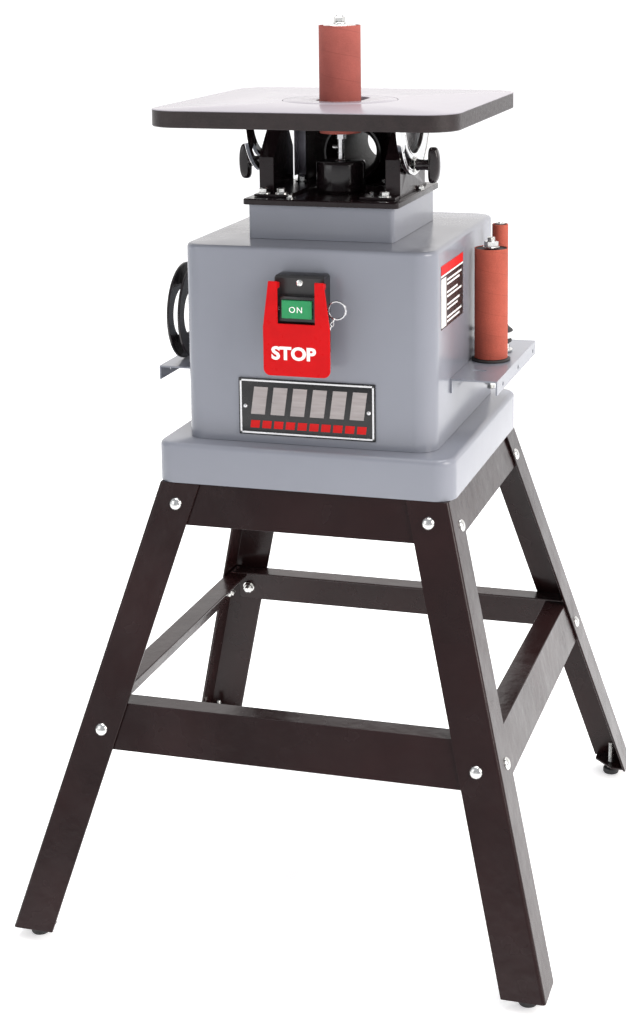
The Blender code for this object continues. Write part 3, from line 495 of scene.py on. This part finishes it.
def carriage_bolt(shape, point, normal):
    """Round-headed bolt outside the leg, with its washer and nut inside."""
    dome = [(0.0, 0.0036), (0.0028, 0.0034), (0.0052, 0.0026), (0.0069, 0.0012), (0.0074, 0.0002),
            (0.0070, -0.0001), (0.0, -0.0001)]
    shape.turn(dome, facing(point, normal), steps=32)
    inside = facing(point - normal * 0.0064, -normal)
    shape.turn([(0.0, 0.0012), (0.0082, 0.0012), (0.0082, 0.0), (0.0, 0.0)], inside, steps=28)
    shape.hexagon(0.0125, 0.0012, 0.0066, inside)
    shape.turn([(0.0, 0.0100), (0.0035, 0.0100)] + thread(0.004, 0.0095, 0.0066) + [(0.0, 0.0066)],
               inside, steps=20)


for end_name, end in ENDS.items():
    bolts = Shape()
    for along, height in ((0.154, 0.504), (0.226, 0.244)):
        for sign in (-1, 1):
            carriage_bolt(bolts, *leaning_face((1, end), sign * along, height))
    bolts.piece(f"stand_bolts_{end_name}", ZINC, "frame", "zinc")
for side_name, side in SIDES.items():
    bolts = Shape()
    for along, height in ((0.158, 0.494), (0.232, 0.244)):
        for sign in (-1, 1):
            carriage_bolt(bolts, *leaning_face((0, side), sign * along, height))
    bolts.piece(f"stand_bolts_{side_name}", ZINC, "frame", "zinc")

for end_name, end in ENDS.items():
    for side_name, side in SIDES.items():
        node = f"levelling_foot_{end_name}_{side_name}"
        low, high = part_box(node)
        centre = ((low.x + high.x) / 2, (low.y + high.y) / 2, 0.0)
        foot = Shape()
        foot.turn([(0.0, 0.0086), (0.0085, 0.0086), (0.0104, 0.0074), (0.0109, 0.0050), (0.0109, 0.0020),
                   (0.0100, 0.0004), (0.0090, 0.0), (0.0, 0.0)], Matrix.Translation(centre), steps=40)
        foot.use(1).hexagon(0.0128, 0.0088, 0.0136, Matrix.Translation(centre))
        foot.turn([(0.0, high.z)] + thread(0.0038, high.z, 0.0136, 0.0012) + [(0.0, 0.0136)],
                  Matrix.Translation(centre), steps=24)
        foot.piece("look_" + node, [RUBBER, ZINC], node, "foot", node)


# ---------------------------------------------------------------- base, cabinet, neck and plate
def cover_shell(name, node, corner, fillet, wall, hole, steps=12):
    """Pressed cover with rounded upright corners, a filleted top edge and a rectangular hole in its top."""
    low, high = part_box(node)

    def outer(inset, height):
        """Outer loop of the cover at a height."""
        outline = rounded_rectangle(low.x, high.x, low.y, high.y, corner, inset, steps)
        return [(px, py, height) for px, py in outline]

    loops = []
    for i in range(7):
        angle = math.pi / 2 * (1 - i / 6)
        loops.append(outer(fillet * (1 - math.cos(angle)), high.z - fillet * (1 - math.sin(angle))))
    loops += [outer(0.0, low.z), outer(wall, low.z), outer(wall, high.z - wall)]
    rim = rounded_rectangle(*hole, 0.002, 0.0, 3)
    inner = [[(px, py, high.z) for px, py in rim], [(px, py, high.z - wall) for px, py in rim]]
    shape = Shape().slab(loops, inner)
    return shape.piece(name, GREY_PAINT, "frame", "cabinet_grey", node)


cover_shell("look_base_tray", "base_tray", 0.024, 0.006, 0.003, (-0.120, 0.120, -0.125, 0.140))
cabinet = cover_shell("look_cabinet", "cabinet_shell", 0.025, 0.005, 0.0025, (-0.080, 0.080, -0.088, 0.088))
carve(cabinet, [cutter_block((-0.108, 0.150, 0.596), (0.108, 0.190, 0.788))])
cover_shell("look_neck", "neck_box", 0.0055, 0.0008, 0.003, (-0.086, 0.086, -0.094, 0.094), 6)
refined("mounting_plate", BLACK_PAINT, "frame", "frame_black", 0.0006)
refined("rear_cover", GREY_PAINT, "frame", "cabinet_grey", 0.0005)

screws = Shape()
for sx in (-0.112, 0.112):
    for z in (0.594, 0.692, 0.790):
        at = facing((sx, 0.1743, z), (0, 1, 0))
        screws.turn([(0.0, 0.0022), (0.0018, 0.0021), (0.0034, 0.0013), (0.0040, 0.0), (0.0, 0.0)],
                    at, steps=24)
screws.piece("cover_screws", ZINC, "frame", "zinc")

gland_at = facing((0.085, 0.1725, 0.612), (0, 1, 0))
gland = Shape().turn([(0.0035, 0.0218), (0.0062, 0.0212), (0.0072, 0.0180), (0.0094, 0.0122),
                      (0.0112, 0.0105),
                      (0.0114, 0.0040), (0.0112, 0.0030), (0.0078, 0.0030), (0.0078, -0.0075),
                      (0.0035, -0.0075)],
                     gland_at, steps=48)
gland.hexagon(0.0198, 0.0034, 0.0092, gland_at)
gland.piece("look_cord_gland", BLACK_PLASTIC, "frame", "black_plastic", "cord_gland")


def hex_bolt(shape, point, across=0.0100, head=0.0048, washer=0.0090, normal=(0, 0, 1)):
    """Hexagon-headed bolt on a washer."""
    at = facing(point, normal)
    shape.turn([(0.0, 0.0013), (washer - 0.0003, 0.0013), (washer, 0.0010), (washer, 0.0), (0.0, 0.0)],
               at, steps=36)
    shape.hexagon(across, 0.0013, 0.0013 + head, at, turn=17)
    shape.turn([(0.0, 0.0021 + head), (across * 0.36, 0.0019 + head), (across * 0.42, 0.0012 + head),
                (0.0, 0.0012 + head)], at, steps=28)


bolts = Shape()
for x, y, z in ((-0.0785, -0.0720, 0.8614), (-0.0575, -0.0670, 0.8614), (0.0720, -0.0725, 0.8614),
                (0.0690, -0.0420, 0.8614), (0.0700, 0.0520, 0.8614), (-0.0700, 0.0520, 0.8614)):
    hex_bolt(bolts, (x, y, z), washer=0.0086)
for x, y, z in ((0.050, -0.050, 0.8582), (0.036, 0.058, 0.8613), (-0.036, 0.058, 0.8613),
                (-0.040, -0.088, 0.8582), (0.0915, 0.024, 0.8582)):
    hex_bolt(bolts, (x, y, z), across=0.0070, head=0.0032, washer=0.0045)
bolts.piece("plate_bolts", ZINC, "frame", "zinc")


# ---------------------------------------------------------------- table, insert and tilt gear
LAMINATE_EDGE = 0.96905                      # below this the board's edge shows its dark band
BAND_FOOT = 0.9505                           # below this is the board's underside
INSERT_RADIUS = 0.0700
SLOT_RADIUS = 0.0285
SLOT_ENDS = (0.016, -0.013)                  # centres of the slot's round ends along Y


def circle(radius, z, steps=96):
    """Loop round the spindle's axis."""
    angles = [2 * math.pi * i / steps for i in range(steps)]
    return [(radius * math.cos(angle), SPINDLE_Y + radius * math.sin(angle), z) for angle in angles]


def board(inset, z):
    """Loop round the table's outline."""
    outline = rounded_rectangle(-0.184, 0.184, -0.194, 0.174, 0.040, inset, 16)
    return [(px, py, z) for px, py in outline]


table = Shape()
table.slab([board(0.0005, TABLE_TOP), board(0.0002, 0.9699), board(0.0, 0.9696), board(0.0, 0.9691),
            board(0.0003, 0.9689), board(0.0003, 0.9510), board(0.0012, TABLE_UNDERSIDE)],
           [circle(INSERT_RADIUS + 0.0010, TABLE_TOP), circle(INSERT_RADIUS + 0.0005, 0.9696),
            circle(INSERT_RADIUS + 0.0005, 0.9637), circle(0.0620, 0.9637),
            circle(0.0620, TABLE_UNDERSIDE)])
for face in table.bm.faces:
    height = face.calc_center_median().z
    if height < BAND_FOOT:
        face.material_index = 2
    elif height < LAMINATE_EDGE:
        face.material_index = 1
table.piece("look_table_board", [LAMINATE, EDGE_BAND, UNDERSIDE], "table", "laminate", "table_top")


def insert_slot(grow, z):
    """Loop round the insert's long hole."""
    points = arc((0.0, SLOT_ENDS[0]), SLOT_RADIUS + grow, 0, 180, 24)
    points += arc((0.0, SLOT_ENDS[1]), SLOT_RADIUS + grow, 180, 360, 24)
    return [(px, py, z) for px, py in points]


insert = Shape()
insert.slab([circle(INSERT_RADIUS - 0.0007, TABLE_TOP), circle(INSERT_RADIUS - 0.0002, 0.9697),
             circle(INSERT_RADIUS, 0.9692), circle(INSERT_RADIUS, 0.9642)],
            [insert_slot(0.0008, TABLE_TOP), insert_slot(0.0002, 0.9697), insert_slot(0.0, 0.9691),
             insert_slot(0.0, 0.9642)])
insert.piece("look_insert", INSERT, "table", "insert", "table_insert")

TILT = (-0.020, 0.958)
for side_name, side in SIDES.items():
    plate = Shape()
    ends = math.degrees(math.asin((TILT[1] - 0.9497) / 0.076))
    inner_ends = math.degrees(math.asin((TILT[1] - 0.9467) / 0.050))
    near, far = side * 0.092, side * 0.096
    outline = arc(TILT, 0.076, 180 + ends, 360 - ends, 60)
    outline += arc(TILT, 0.050, 360 - inner_ends, 180 + inner_ends, 48)
    window = arc(TILT, 0.0688, 220, 275, 32) + arc(TILT, 0.0592, 275, 220, 32)
    plate.slab([[(near, u, v) for u, v in outline], [(far, u, v) for u, v in outline]],
               [[(near, u, v) for u, v in window], [(far, u, v) for u, v in window]])
    plate.piece(f"look_trunnion_plate_{side_name}", PLATED, "table", "zinc", f"trunnion_{side_name}")
    rims = Shape()
    for radius, start, stop in ((0.0752, 184, 356), (0.0508, 190, 350), (0.0697, 219, 276),
                                (0.0583, 219, 276)):
        wire = arc(TILT, radius, start, stop, 64)
        loops = []
        for i, (u, v) in enumerate(wire):
            angle = math.radians(start + (stop - start) * i / 64)
            loop = []
            for j in range(10):
                turn = 2 * math.pi * j / 10
                spread = radius + 0.0009 * math.cos(turn)
                loop.append((side * (0.0961 + 0.0008 * math.sin(turn)), TILT[0] + spread * math.cos(angle),
                             TILT[1] + spread * math.sin(angle)))
            loops.append(loop)
        rims.loft(loops)
    rims.piece(f"trunnion_rims_{side_name}", PLATED, "table", "zinc")
    flange = Shape()
    low, high = sorted((side * 0.0921, side * 0.116))
    flange.block((low, -0.092, 0.9467), (high, 0.052, 0.9496), 0.0008)
    for y in (-0.078, -0.020, 0.038):
        at = facing((side * 0.106, y, 0.9466), (0, 0, -1))
        flange.turn([(0.0, 0.0024), (0.0030, 0.0022), (0.0044, 0.0012), (0.0048, 0.0), (0.0, 0.0)],
                    at, steps=24)
    flange.piece(f"trunnion_flange_{side_name}", ZINC, "table", "zinc")
    refined(f"tilt_bracket_{side_name}", BLACK_PAINT, "frame", "frame_black", 0.0006)
    lip = Shape()
    low, high = sorted((side * 0.0700, side * 0.0878))
    outline = ((-0.0597, 0.9036), (-0.0222, 0.9411), (-0.0211, 0.9400), (-0.0586, 0.9025))
    lip.loft([[(x, y, z) for y, z in outline] for x in (low, high)])
    lip.piece(f"tilt_bracket_lip_{side_name}", BLACK_PAINT, "frame", "frame_black")

    knob = Shape()
    centre = (0.0, TILT[0], TILT[1] - 0.064)
    to_side = facing(centre, (side, 0, 0))
    knob.use(1).turn([(0.0, 0.099)] + thread(0.0039, 0.0985, 0.0850) + [(0.0, 0.0845)], to_side, steps=24)
    knob.turn([(0.0, 0.0984), (0.0088, 0.0984), (0.0098, 0.0978), (0.0098, 0.0972), (0.0, 0.0972)],
              to_side, steps=40)
    knob.use(0).turn([(0.0, 0.1160), (0.0070, 0.1150), (0.0062, 0.1090), (0.0064, 0.1020), (0.0074, 0.0986),
                      (0.0, 0.0985)], to_side, steps=40)
    loops = []
    for i in range(25):
        share = -1 + i / 12
        half = 0.0216 * math.sin(share * math.pi / 2)
        width = 0.0073 * (1 - abs(share) ** 5) ** 0.5 + 0.0004
        outer = 0.1268 - 0.0066 * share ** 2 - 0.0020 * abs(share) ** 8
        inner = 0.1124 + 0.0040 * abs(share) ** 3
        loop = []
        for j in range(24):
            turn = 2 * math.pi * j / 24
            cx, cy = math.cos(turn), math.sin(turn)
            px = (inner + outer) / 2 + (outer - inner) / 2 * math.copysign(abs(cx) ** 0.6, cx)
            loop.append((side * px, centre[1] + width * math.copysign(abs(cy) ** 0.6, cy), centre[2] + half))
        loops.append(loop)
    knob.loft(loops)
    knob.piece(f"look_lock_knob_{side_name}", [GLOSS_BLACK, ZINC], f"lock_knob_{side_name}", "black_plastic",
               f"lock_knob_{side_name}", sharp=50)


# ---------------------------------------------------------------- dust port
port_at = facing((0.0, 0.040, 0.900), (0, 1, 0))
port = Shape().turn([(0.0272, 0.1600), (0.0275, 0.1596), (0.0275, 0.0410), (0.0376, 0.0410), (0.0380, 0.0405),
                     (0.0380, 0.0388), (0.0376, 0.0383), (0.0275, 0.0383), (0.0275, 0.0220), (0.0296, 0.0150),
                     (0.0332, 0.0070), (0.0370, 0.0008), (0.0367, 0.0), (0.0345, 0.0), (0.0308, 0.0070),
                     (0.0272, 0.0150), (0.0250, 0.0220), (0.0250, 0.1596), (0.0253, 0.1600)], port_at,
                     steps=72)
for face in port.bm.faces:
    middle = port_at.inverted() @ face.calc_center_median()
    if Vector((middle.x, middle.y)).length < 0.0256:
        face.material_index = 1
port.piece("look_dust_port", [GLOSS_BLACK, RUBBER], "frame", "black_plastic", "dust_port")
refined("dust_port_bracket", BLACK_PAINT, "frame", "frame_black", 0.0005)
# Strips at the rear flanges of the dust-port bracket. Their pale lavender metal is painted reflection: it
# stands in for the bright surroundings mirrored in the glossy black bracket, not for the flanges' own black
# paint.
painted_reflection_strips = Shape()
for side in SIDES.values():
    for x, y in ((0.0720, 0.0738), (0.0820, 0.0612)):
        low_x, high_x = sorted((side * x, side * 0.0834))
        painted_reflection_strips.block((low_x, y, 0.8665), (high_x, 0.0752, 0.9385), 0.0004)
painted_reflection_strips.piece("dust_port_bracket_edging", PAINTED_REFLECTION_METAL, "frame", "zinc")


# ---------------------------------------------------------------- spindle and drum
at = Matrix.Translation(SPINDLE)
cup = Shape().turn([(0.0120, 0.8955), (0.0124, 0.8960), (0.0270, 0.8960), (0.0288, 0.8953), (0.0297, 0.8938),
                    (0.0300, 0.8915), (0.0300, 0.8620), (0.0296, 0.8600), (0.0286, 0.8590), (0.0283, 0.8584),
                    (0.0262, 0.8584), (0.0262, 0.8200), (0.0203, 0.8200), (0.0203, 0.8920), (0.0120, 0.8920)],
                   at, steps=72)
cup.piece("look_spindle_cup", GLOSS_BLACK, "frame", "frame_black", "spindle_housing")

shaft = Shape()
shaft.turn([(0.0, 1.0720), (0.0038, 1.0720)] + thread(0.0049, 1.0712, 1.0560, 0.00125)
           + [(0.0049, 0.9315), (0.0222, 0.9315), (0.0225, 0.9311), (0.0225, 0.9299), (0.0222, 0.9295),
              (0.0040, 0.9295), (0.0040, 0.8980), (0.0078, 0.8935), (0.0080, 0.8930), (0.0080, 0.6905),
              (0.0, 0.6900)],
           at, steps=48)
shaft.hexagon(0.0118, 0.9222, 0.9296, at, turn=12)
clamp = facing((0.0, SPINDLE_Y, 0.912), (-1, 0, 0))
shaft.turn([(0.0, 0.0102), (0.0026, 0.0100), (0.0030, 0.0094), (0.0030, 0.0060), (0.0017, 0.0060),
            (0.0017, 0.0030), (0.0, 0.0030)], clamp, steps=28)
shaft.piece("look_spindle_shaft", STEEL, "spindle", "steel", "spindle_shaft", origin=SPINDLE)

core = Shape().turn([(0.0054, 1.0583), (0.0225, 1.0583), (0.0240, 1.0575), (0.0240, 0.9320),
                     (0.0054, 0.9320)],
                    at, steps=72)
core.piece("look_drum_core", RUBBER, "spindle", "rubber", "drum_core", origin=SPINDLE)
sleeve = Shape().turn([(0.0245, 1.0600), (0.0252, 1.0600), (0.0254, 1.0597), (0.0254, 0.9303),
                       (0.0252, 0.9300), (0.0245, 0.9300)], at, steps=96)
sleeve.piece("look_sanding_sleeve", CLOTH, "spindle", "abrasive", "sanding_sleeve", origin=SPINDLE)
washer = Shape().turn([(0.0053, 1.0633), (0.0076, 1.0634), (0.0080, 1.0630), (0.0080, 1.0620),
                       (0.0160, 1.0613),
                       (0.0188, 1.0606), (0.0199, 1.0598), (0.0200, 1.0590), (0.0197, 1.0588),
                       (0.0053, 1.0588)],
                      at, steps=72)
washer.piece("look_drum_washer", ZINC, "spindle", "zinc", "drum_washer", origin=SPINDLE)
nut = Shape()
hexagons = []
for share, z in ((0.88, 1.0700), (1.0, 1.0692), (1.0, 1.0646), (0.88, 1.0638)):
    radius = 0.00715 * share
    corners = [math.radians(60 * i + 10) for i in range(6)]
    hexagons.append([(radius * math.cos(a), SPINDLE_Y + radius * math.sin(a), z) for a in corners])
nut.slab(hexagons, [circle(0.0054, 1.0700, 30), circle(0.0054, 1.0638, 30)])
nut.piece("look_drum_nut", ZINC, "spindle", "zinc", "drum_nut", origin=SPINDLE)


# ---------------------------------------------------------------- drive
refined("quill", STEEL, "quill", "steel", 0.0004)
refined("spindle_pulley", CAST, "spindle_pulley", "cast_iron", 0.0)
refined("motor_pulley", CAST, "motor_rotor", "cast_iron", 0.0)
refined("motor_shaft", STEEL, "motor_rotor", "steel", 0.0)
refined("worm_wheel", STEEL, "worm_wheel", "steel", 0.0003)
refined("motor_mount", MOTOR_PAINT, "frame", "motor", 0.0005)
refined("drive_belt", RUBBER, "frame", "rubber", 0.0006)
motor_at = Matrix.Translation((0.0, 0.100, 0.0))
motor = Shape().turn([(0.0086, 0.6935), (0.0520, 0.6935), (0.0570, 0.6915), (0.0598, 0.6870),
                      (0.0600, 0.6820),
                      (0.0600, 0.6060), (0.0590, 0.5990), (0.0560, 0.5940), (0.0520, 0.5920),
                      (0.0086, 0.5920)],
                     motor_at, steps=72)
motor.piece("look_motor_housing", MOTOR_PAINT, "frame", "motor", "motor_housing")


# ---------------------------------------------------------------- switch
refined("switch_housing", BLACK_PLASTIC, "frame", "black_plastic", 0.0012, 3)
refined("on_button", GREEN_PLASTIC, "on_button", "green_plastic", 0.0006, 2)
refined("off_button", RED_PLASTIC, "off_button", "red_plastic", 0.0008, 2)
refined("stop_paddle", RED_PLASTIC, "stop_paddle", "red_plastic", 0.0009, 3)
refined("lock_pin", STEEL, "lock_pin", "steel", 0.0)
lettering("on_lettering", "ON", 0.0098, (-0.0010, -0.19205, 0.7440), WHITE_PAINT, "on_button",
          "green_plastic", spacing=1.2)
lettering("stop_lettering", "STOP", 0.0205, (-0.0034, -0.19505, 0.6930), WHITE_PAINT, "stop_paddle",
          "red_plastic", 0.0008, stretch=1.08)
low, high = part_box("lock_pin")
ring_centre = Vector(((high.x - 0.0117), (low.y + high.y) / 2, (low.z + high.z) / 2))
chain = Shape()


def link(centre, along, flat, length=0.0062, width=0.0036, wire=0.00055):
    """One oval chain link: its long axis, and the normal of its plane."""
    along, flat = Vector(along).normalized(), Vector(flat).normalized()
    across = flat.cross(along)
    loops = []
    for i in range(25):
        turn = 2 * math.pi * i / 24
        middle = centre + along * (length / 2 * math.cos(turn)) + across * (width / 2 * math.sin(turn))
        out = (along * math.cos(turn) * width + across * math.sin(turn) * length).normalized()
        loops.append([middle + (out * math.cos(math.pi * j / 4) + flat * math.sin(math.pi * j / 4)) * wire
                      for j in range(8)])
    chain.loft(loops, cap=False)


hang = Vector((-0.42, 0.0, -1.0)).normalized()
start = ring_centre + Vector((-0.0034, 0.0, -0.0100)) + hang * 0.0020
for i in range(3):
    link(start + hang * 0.0046 * i, hang, (0, 1, 0) if i % 2 else (1, 0, -0.42))
chain.piece("lock_pin_chain", PLATED, "lock_pin", "steel")

head = facing((0.0, -0.1799, 0.7735), (0, -1, 0))
screw = Shape().turn([(0.0, 0.0017), (0.0022, 0.0016), (0.0037, 0.0009), (0.0042, 0.0), (0.0, 0.0)],
                     head, steps=36)
carve(screw.piece("switch_screw", ZINC, "frame", "zinc"),
      [cutter_block((-0.0027, -0.184, 0.7730), (0.0027, -0.1808, 0.7740)),
       cutter_block((-0.0005, -0.184, 0.7708), (0.0005, -0.1808, 0.7762))])


# ---------------------------------------------------------------- plates and label
low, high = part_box("nameplate")
plate = Shape()
plate.block(low, (high.x, high.y, high.z), 0.0005)
front = low.y
border = 0.0022
plate.use(1)
for z0, z1 in ((low.z + 0.0015, low.z + 0.0015 + border), (high.z - 0.0015 - border, high.z - 0.0015)):
    plate.block((low.x + 0.0015, front - 0.0004, z0), (high.x - 0.0015, front + 0.0003, z1), 0.0002, 1)
for x0, x1 in ((low.x + 0.0015, low.x + 0.0015 + border), (high.x - 0.0015 - border, high.x - 0.0015)):
    plate.block((x0, front - 0.0004, low.z + 0.0015), (x1, front + 0.0003, high.z - 0.0015), 0.0002, 1)
for sign in (-1, 1):
    plate.turn([(0.0, 0.0014), (0.0013, 0.0012), (0.0023, 0.0006), (0.0026, 0.0), (0.0, 0.0)],
               facing((sign * 0.0755, front, (low.z + high.z) / 2), (0, -1, 0)), steps=24)


def slanted_bars(first, pitch, count, width, slant, bottom, top):
    """Row of raised leaning bars on the nameplate."""
    for i in range(count):
        x0 = low.x + first + i * pitch
        corners = ((0.0, bottom), (width, bottom), (width + slant, top), (slant, top))
        plate.loft([[(x0 + dx, y, low.z + dz) for dx, dz in corners] for y in (front - 0.0003,
                                                                               front + 0.0003)])


plate.use(3)
slanted_bars(0.0150, 0.0242, 6, 0.0170, 0.0045, 0.0250, 0.0580)
plate.use(2)
slanted_bars(0.0140, 0.0145, 10, 0.0110, 0.0012, 0.0085, 0.0175)
plate.piece("look_nameplate", [PLATE_BLACK, PLATE_SILVER, LABEL_RED, PLATE_GREY], "frame", "nameplate",
            "nameplate")

label = Shape()


def sticker(y0, y1, z0, z1, proud, index):
    """Thin printed patch on the cabinet's right side."""
    label.use(index).block((CABINET_SIDE - 0.0002, y0, z0), (CABINET_SIDE + proud, y1, z1), 0.00005, 1)


sticker(-0.124, -0.013, 0.7140, 0.7890, 0.00030, 0)
sticker(-0.124, -0.013, 0.7780, 0.7890, 0.00045, 1)
sticker(-0.124, -0.013, 0.7755, 0.7775, 0.00045, 2)
sticker(-0.123, -0.100, 0.7160, 0.7735, 0.00045, 2)
for i in range(8):
    z = 0.7700 - (i // 2) * 0.0148 - (i % 2) * 0.0050
    sticker(-0.095, -0.022 - (i % 3) * 0.010, z - 0.0024, z, 0.00045, 2)
label.piece("side_label", [PLATE_BLACK, LABEL_RED, WHITE_PAINT], "frame", "cabinet_grey")


# ---------------------------------------------------------------- side trays and stored tooling
for side_name in SIDES:
    refined(f"tray_{side_name}", GREY_PAINT, "frame", "cabinet_grey", 0.0005)


def stored_drum(node, stud_node, radius, bolt, collars, top_nut):
    """Spare drum on its threaded stud, with the collars below it and the nuts that hold it."""
    low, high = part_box(node)
    centre = (low + high) / 2
    origin = (centre.x, centre.y, 0.0)
    place = Matrix.Translation(origin)
    bottom, top = low.z, high.z
    drum = Shape()
    drum.turn([(radius - 0.0012, top - 0.0005), (radius - 0.0004, top), (radius, top - 0.0004),
               (radius, bottom + 0.0003), (radius - 0.0012, bottom)], place, steps=72)
    drum.use(1).turn([(bolt + 0.0004, top - 0.0018), (radius - 0.0024, top - 0.0018),
                      (radius - 0.0013, top - 0.0010), (radius - 0.0013, bottom + 0.0004),
                      (bolt + 0.0004, bottom + 0.0004)], place, steps=64)
    drum.piece("look_" + node, [CLOTH_STORED, RUBBER], "frame", "stored_drum", node, origin=origin)
    seat = top + AIR
    foot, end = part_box(stud_node)[0].z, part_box(stud_node)[1].z
    stud = Shape()
    stud.turn([(bolt, seat + 0.0013), (bolt * 2.0, seat + 0.0014), (bolt * 2.1, seat + 0.0010),
               (bolt * 2.1, seat + 0.0002), (bolt * 2.0, seat), (bolt, seat)], place, steps=40)
    if top_nut:
        stud.hexagon(bolt * 3.0, seat + 0.0015, seat + 0.0080, place, 0.0005, 14)
    for nut_top in (0.6447, 0.6257):
        stud.hexagon(bolt * 3.0, nut_top - 0.0088, nut_top, place, 0.0005, 40)
    stud.turn([(0.0, end), (bolt * 0.8, end)] + thread(bolt * 0.98, end - 0.0005, seat + 0.0010)
              + [(bolt * 0.9, seat - 0.0005), (bolt * 0.9, 0.6460)]
              + thread(bolt * 0.98, 0.6450, foot + 0.0005)
              + [(bolt * 0.8, foot), (0.0, foot)], place, steps=28)
    collars(stud, place)
    stud.piece("look_" + stud_node, [ZINC, RUBBER], "frame", "zinc", stud_node)


def base_disc(shape, place):
    """Dark disc at the tray, under a stored drum."""
    shape.use(1).turn([(0.0050, 0.6501), (0.0232, 0.6501), (0.0240, 0.6496), (0.0240, 0.6480),
                       (0.0234, 0.6474), (0.0050, 0.6474)], place, steps=64)


def collar_stack(shape, place):
    """Flared cap and ring in black, over two bright hexagonal collars on a wide washer."""
    shape.use(0)
    shape.hexagon(0.0238, 0.6638, 0.6726, place, 0.0006, 10)
    shape.hexagon(0.0238, 0.6504, 0.6588, place, 0.0006, 34)
    shape.turn([(0.0031, 0.6502), (0.0156, 0.6502), (0.0160, 0.6497), (0.0160, 0.6478), (0.0156, 0.6474),
                (0.0031, 0.6474)], place, steps=48)
    shape.use(1)
    shape.turn([(0.0031, 0.6808), (0.0104, 0.6808), (0.0112, 0.6792), (0.0160, 0.6754), (0.0165, 0.6746),
                (0.0164, 0.6732), (0.0155, 0.6728), (0.0031, 0.6728)], place, steps=56)
    shape.turn([(0.0031, 0.6632), (0.0144, 0.6632), (0.0150, 0.6625), (0.0150, 0.6602), (0.0145, 0.6596),
                (0.0031, 0.6596)], place, steps=48)


stored_drum("stored_drum_large", "storage_stud_large", 0.0205, 0.005, base_disc, True)
stored_drum("stored_drum_small", "storage_stud_small", 0.0100, 0.003, collar_stack, False)

for node in ("stored_insert_outer", "stored_insert_inner"):
    low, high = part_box(node)
    centre = (low + high) / 2
    radius = (high.z - low.z) / 2

    def rim(shrink, x):
        """Loop near the stored insert's round edge."""
        return [(x, centre.y + (radius - shrink) * math.cos(2 * math.pi * i / 96),
                 centre.z + (radius - shrink) * math.sin(2 * math.pi * i / 96)) for i in range(96)]

    def long_hole(grow, x):
        """Loop round the stored insert's long hole."""
        outline = arc((centre.y + 0.014, centre.z), 0.030 + grow, -90, 90, 24)
        outline += arc((centre.y - 0.014, centre.z), 0.030 + grow, 90, 270, 24)
        return [(x, u, v) for u, v in outline]

    disc = Shape().slab([rim(0.0005, low.x), rim(0.0, low.x + 0.0005), rim(0.0, high.x - 0.0005),
                         rim(0.0005, high.x)],
                        [long_hole(0.0004, low.x), long_hole(0.0, low.x + 0.0004),
                         long_hole(0.0, high.x - 0.0004), long_hole(0.0004, high.x)])
    disc.piece("look_" + node, GLOSS_BLACK, "frame", "black_plastic", node)


# ---------------------------------------------------------------- stage, light and camera
floor_mesh = bpy.data.meshes.new("floor")
reach = 40.0
floor_mesh.from_pydata([(-reach, -reach, -0.0002), (reach, -reach, -0.0002), (reach, reach, -0.0002),
                        (-reach, reach, -0.0002)], [], [(0, 1, 2, 3)])
floor_mesh.materials.append(FLOOR)
floor = bpy.data.objects.new("floor", floor_mesh)
bpy.context.scene.collection.objects.link(floor)

world = bpy.data.worlds.new("studio")
bpy.context.scene.world = world
world.use_nodes = True
nodes, links = world.node_tree.nodes, world.node_tree.links
background = nodes["Background"]
sky = nodes.new("ShaderNodeTexCoord")
split = nodes.new("ShaderNodeSeparateXYZ")
links.new(sky.outputs["Generated"], split.inputs["Vector"])
ramp = nodes.new("ShaderNodeValToRGB")
ramp.color_ramp.elements[0].position = 0.0
ramp.color_ramp.elements[0].color = (0.40, 0.41, 0.43, 1.0)
ramp.color_ramp.elements[1].position = 0.7
ramp.color_ramp.elements[1].color = (1.0, 0.98, 0.97, 1.0)
links.new(split.outputs["Y"], ramp.inputs["Fac"])
links.new(ramp.outputs["Color"], background.inputs["Color"])
background.inputs["Strength"].default_value = 1.28


def softbox(name, position, target, size, power, colour=(1.0, 1.0, 1.0)):
    """Square area light aimed at a target."""
    light = bpy.data.lights.new(name, "AREA")
    light.shape = "SQUARE"
    light.size = size
    light.energy = power
    light.color = colour
    lamp = bpy.data.objects.new(name, light)
    lamp.location = position
    lamp.rotation_euler = (Vector(target) - Vector(position)).to_track_quat("-Z", "Y").to_euler()
    bpy.context.scene.collection.objects.link(lamp)


softbox("key", (3.0, -1.0, 2.0), (0.0, 0.0, 0.7), 2.0, 88.0, (1.0, 0.95, 0.91))
softbox("fill", (-2.4, -2.6, 1.7), (0.0, 0.0, 0.7), 2.0, 20.0)
softbox("top", (0.0, 0.3, 3.4), (0.0, 0.0, 0.8), 2.0, 90.0)

YAW, PITCH, ROLL = math.radians(16.147), math.radians(9.094), math.radians(-0.5)
back = Vector((math.sin(YAW) * math.cos(PITCH), -math.cos(YAW) * math.cos(PITCH), math.sin(PITCH)))
right = Vector((math.cos(YAW), math.sin(YAW), 0.0))
up = back.cross(right)
axis_x = right * math.cos(ROLL) + up * math.sin(ROLL)
axis_y = up * math.cos(ROLL) - right * math.sin(ROLL)
camera = bpy.data.objects.new("camera", bpy.data.cameras.new("camera"))
camera.matrix_world = Matrix.Translation((0.6557, -2.1902, 1.1547)) @ Matrix(
    (axis_x, axis_y, back)).transposed().to_4x4()
camera.data.sensor_width = 36.0
camera.data.lens = 65.95
camera.data.shift_x = -0.0468
camera.data.shift_y = -0.2602
camera.data.clip_end = 200.0
bpy.context.scene.collection.objects.link(camera)
bpy.context.scene.camera = camera
bpy.context.scene.view_settings.view_transform = "Standard"
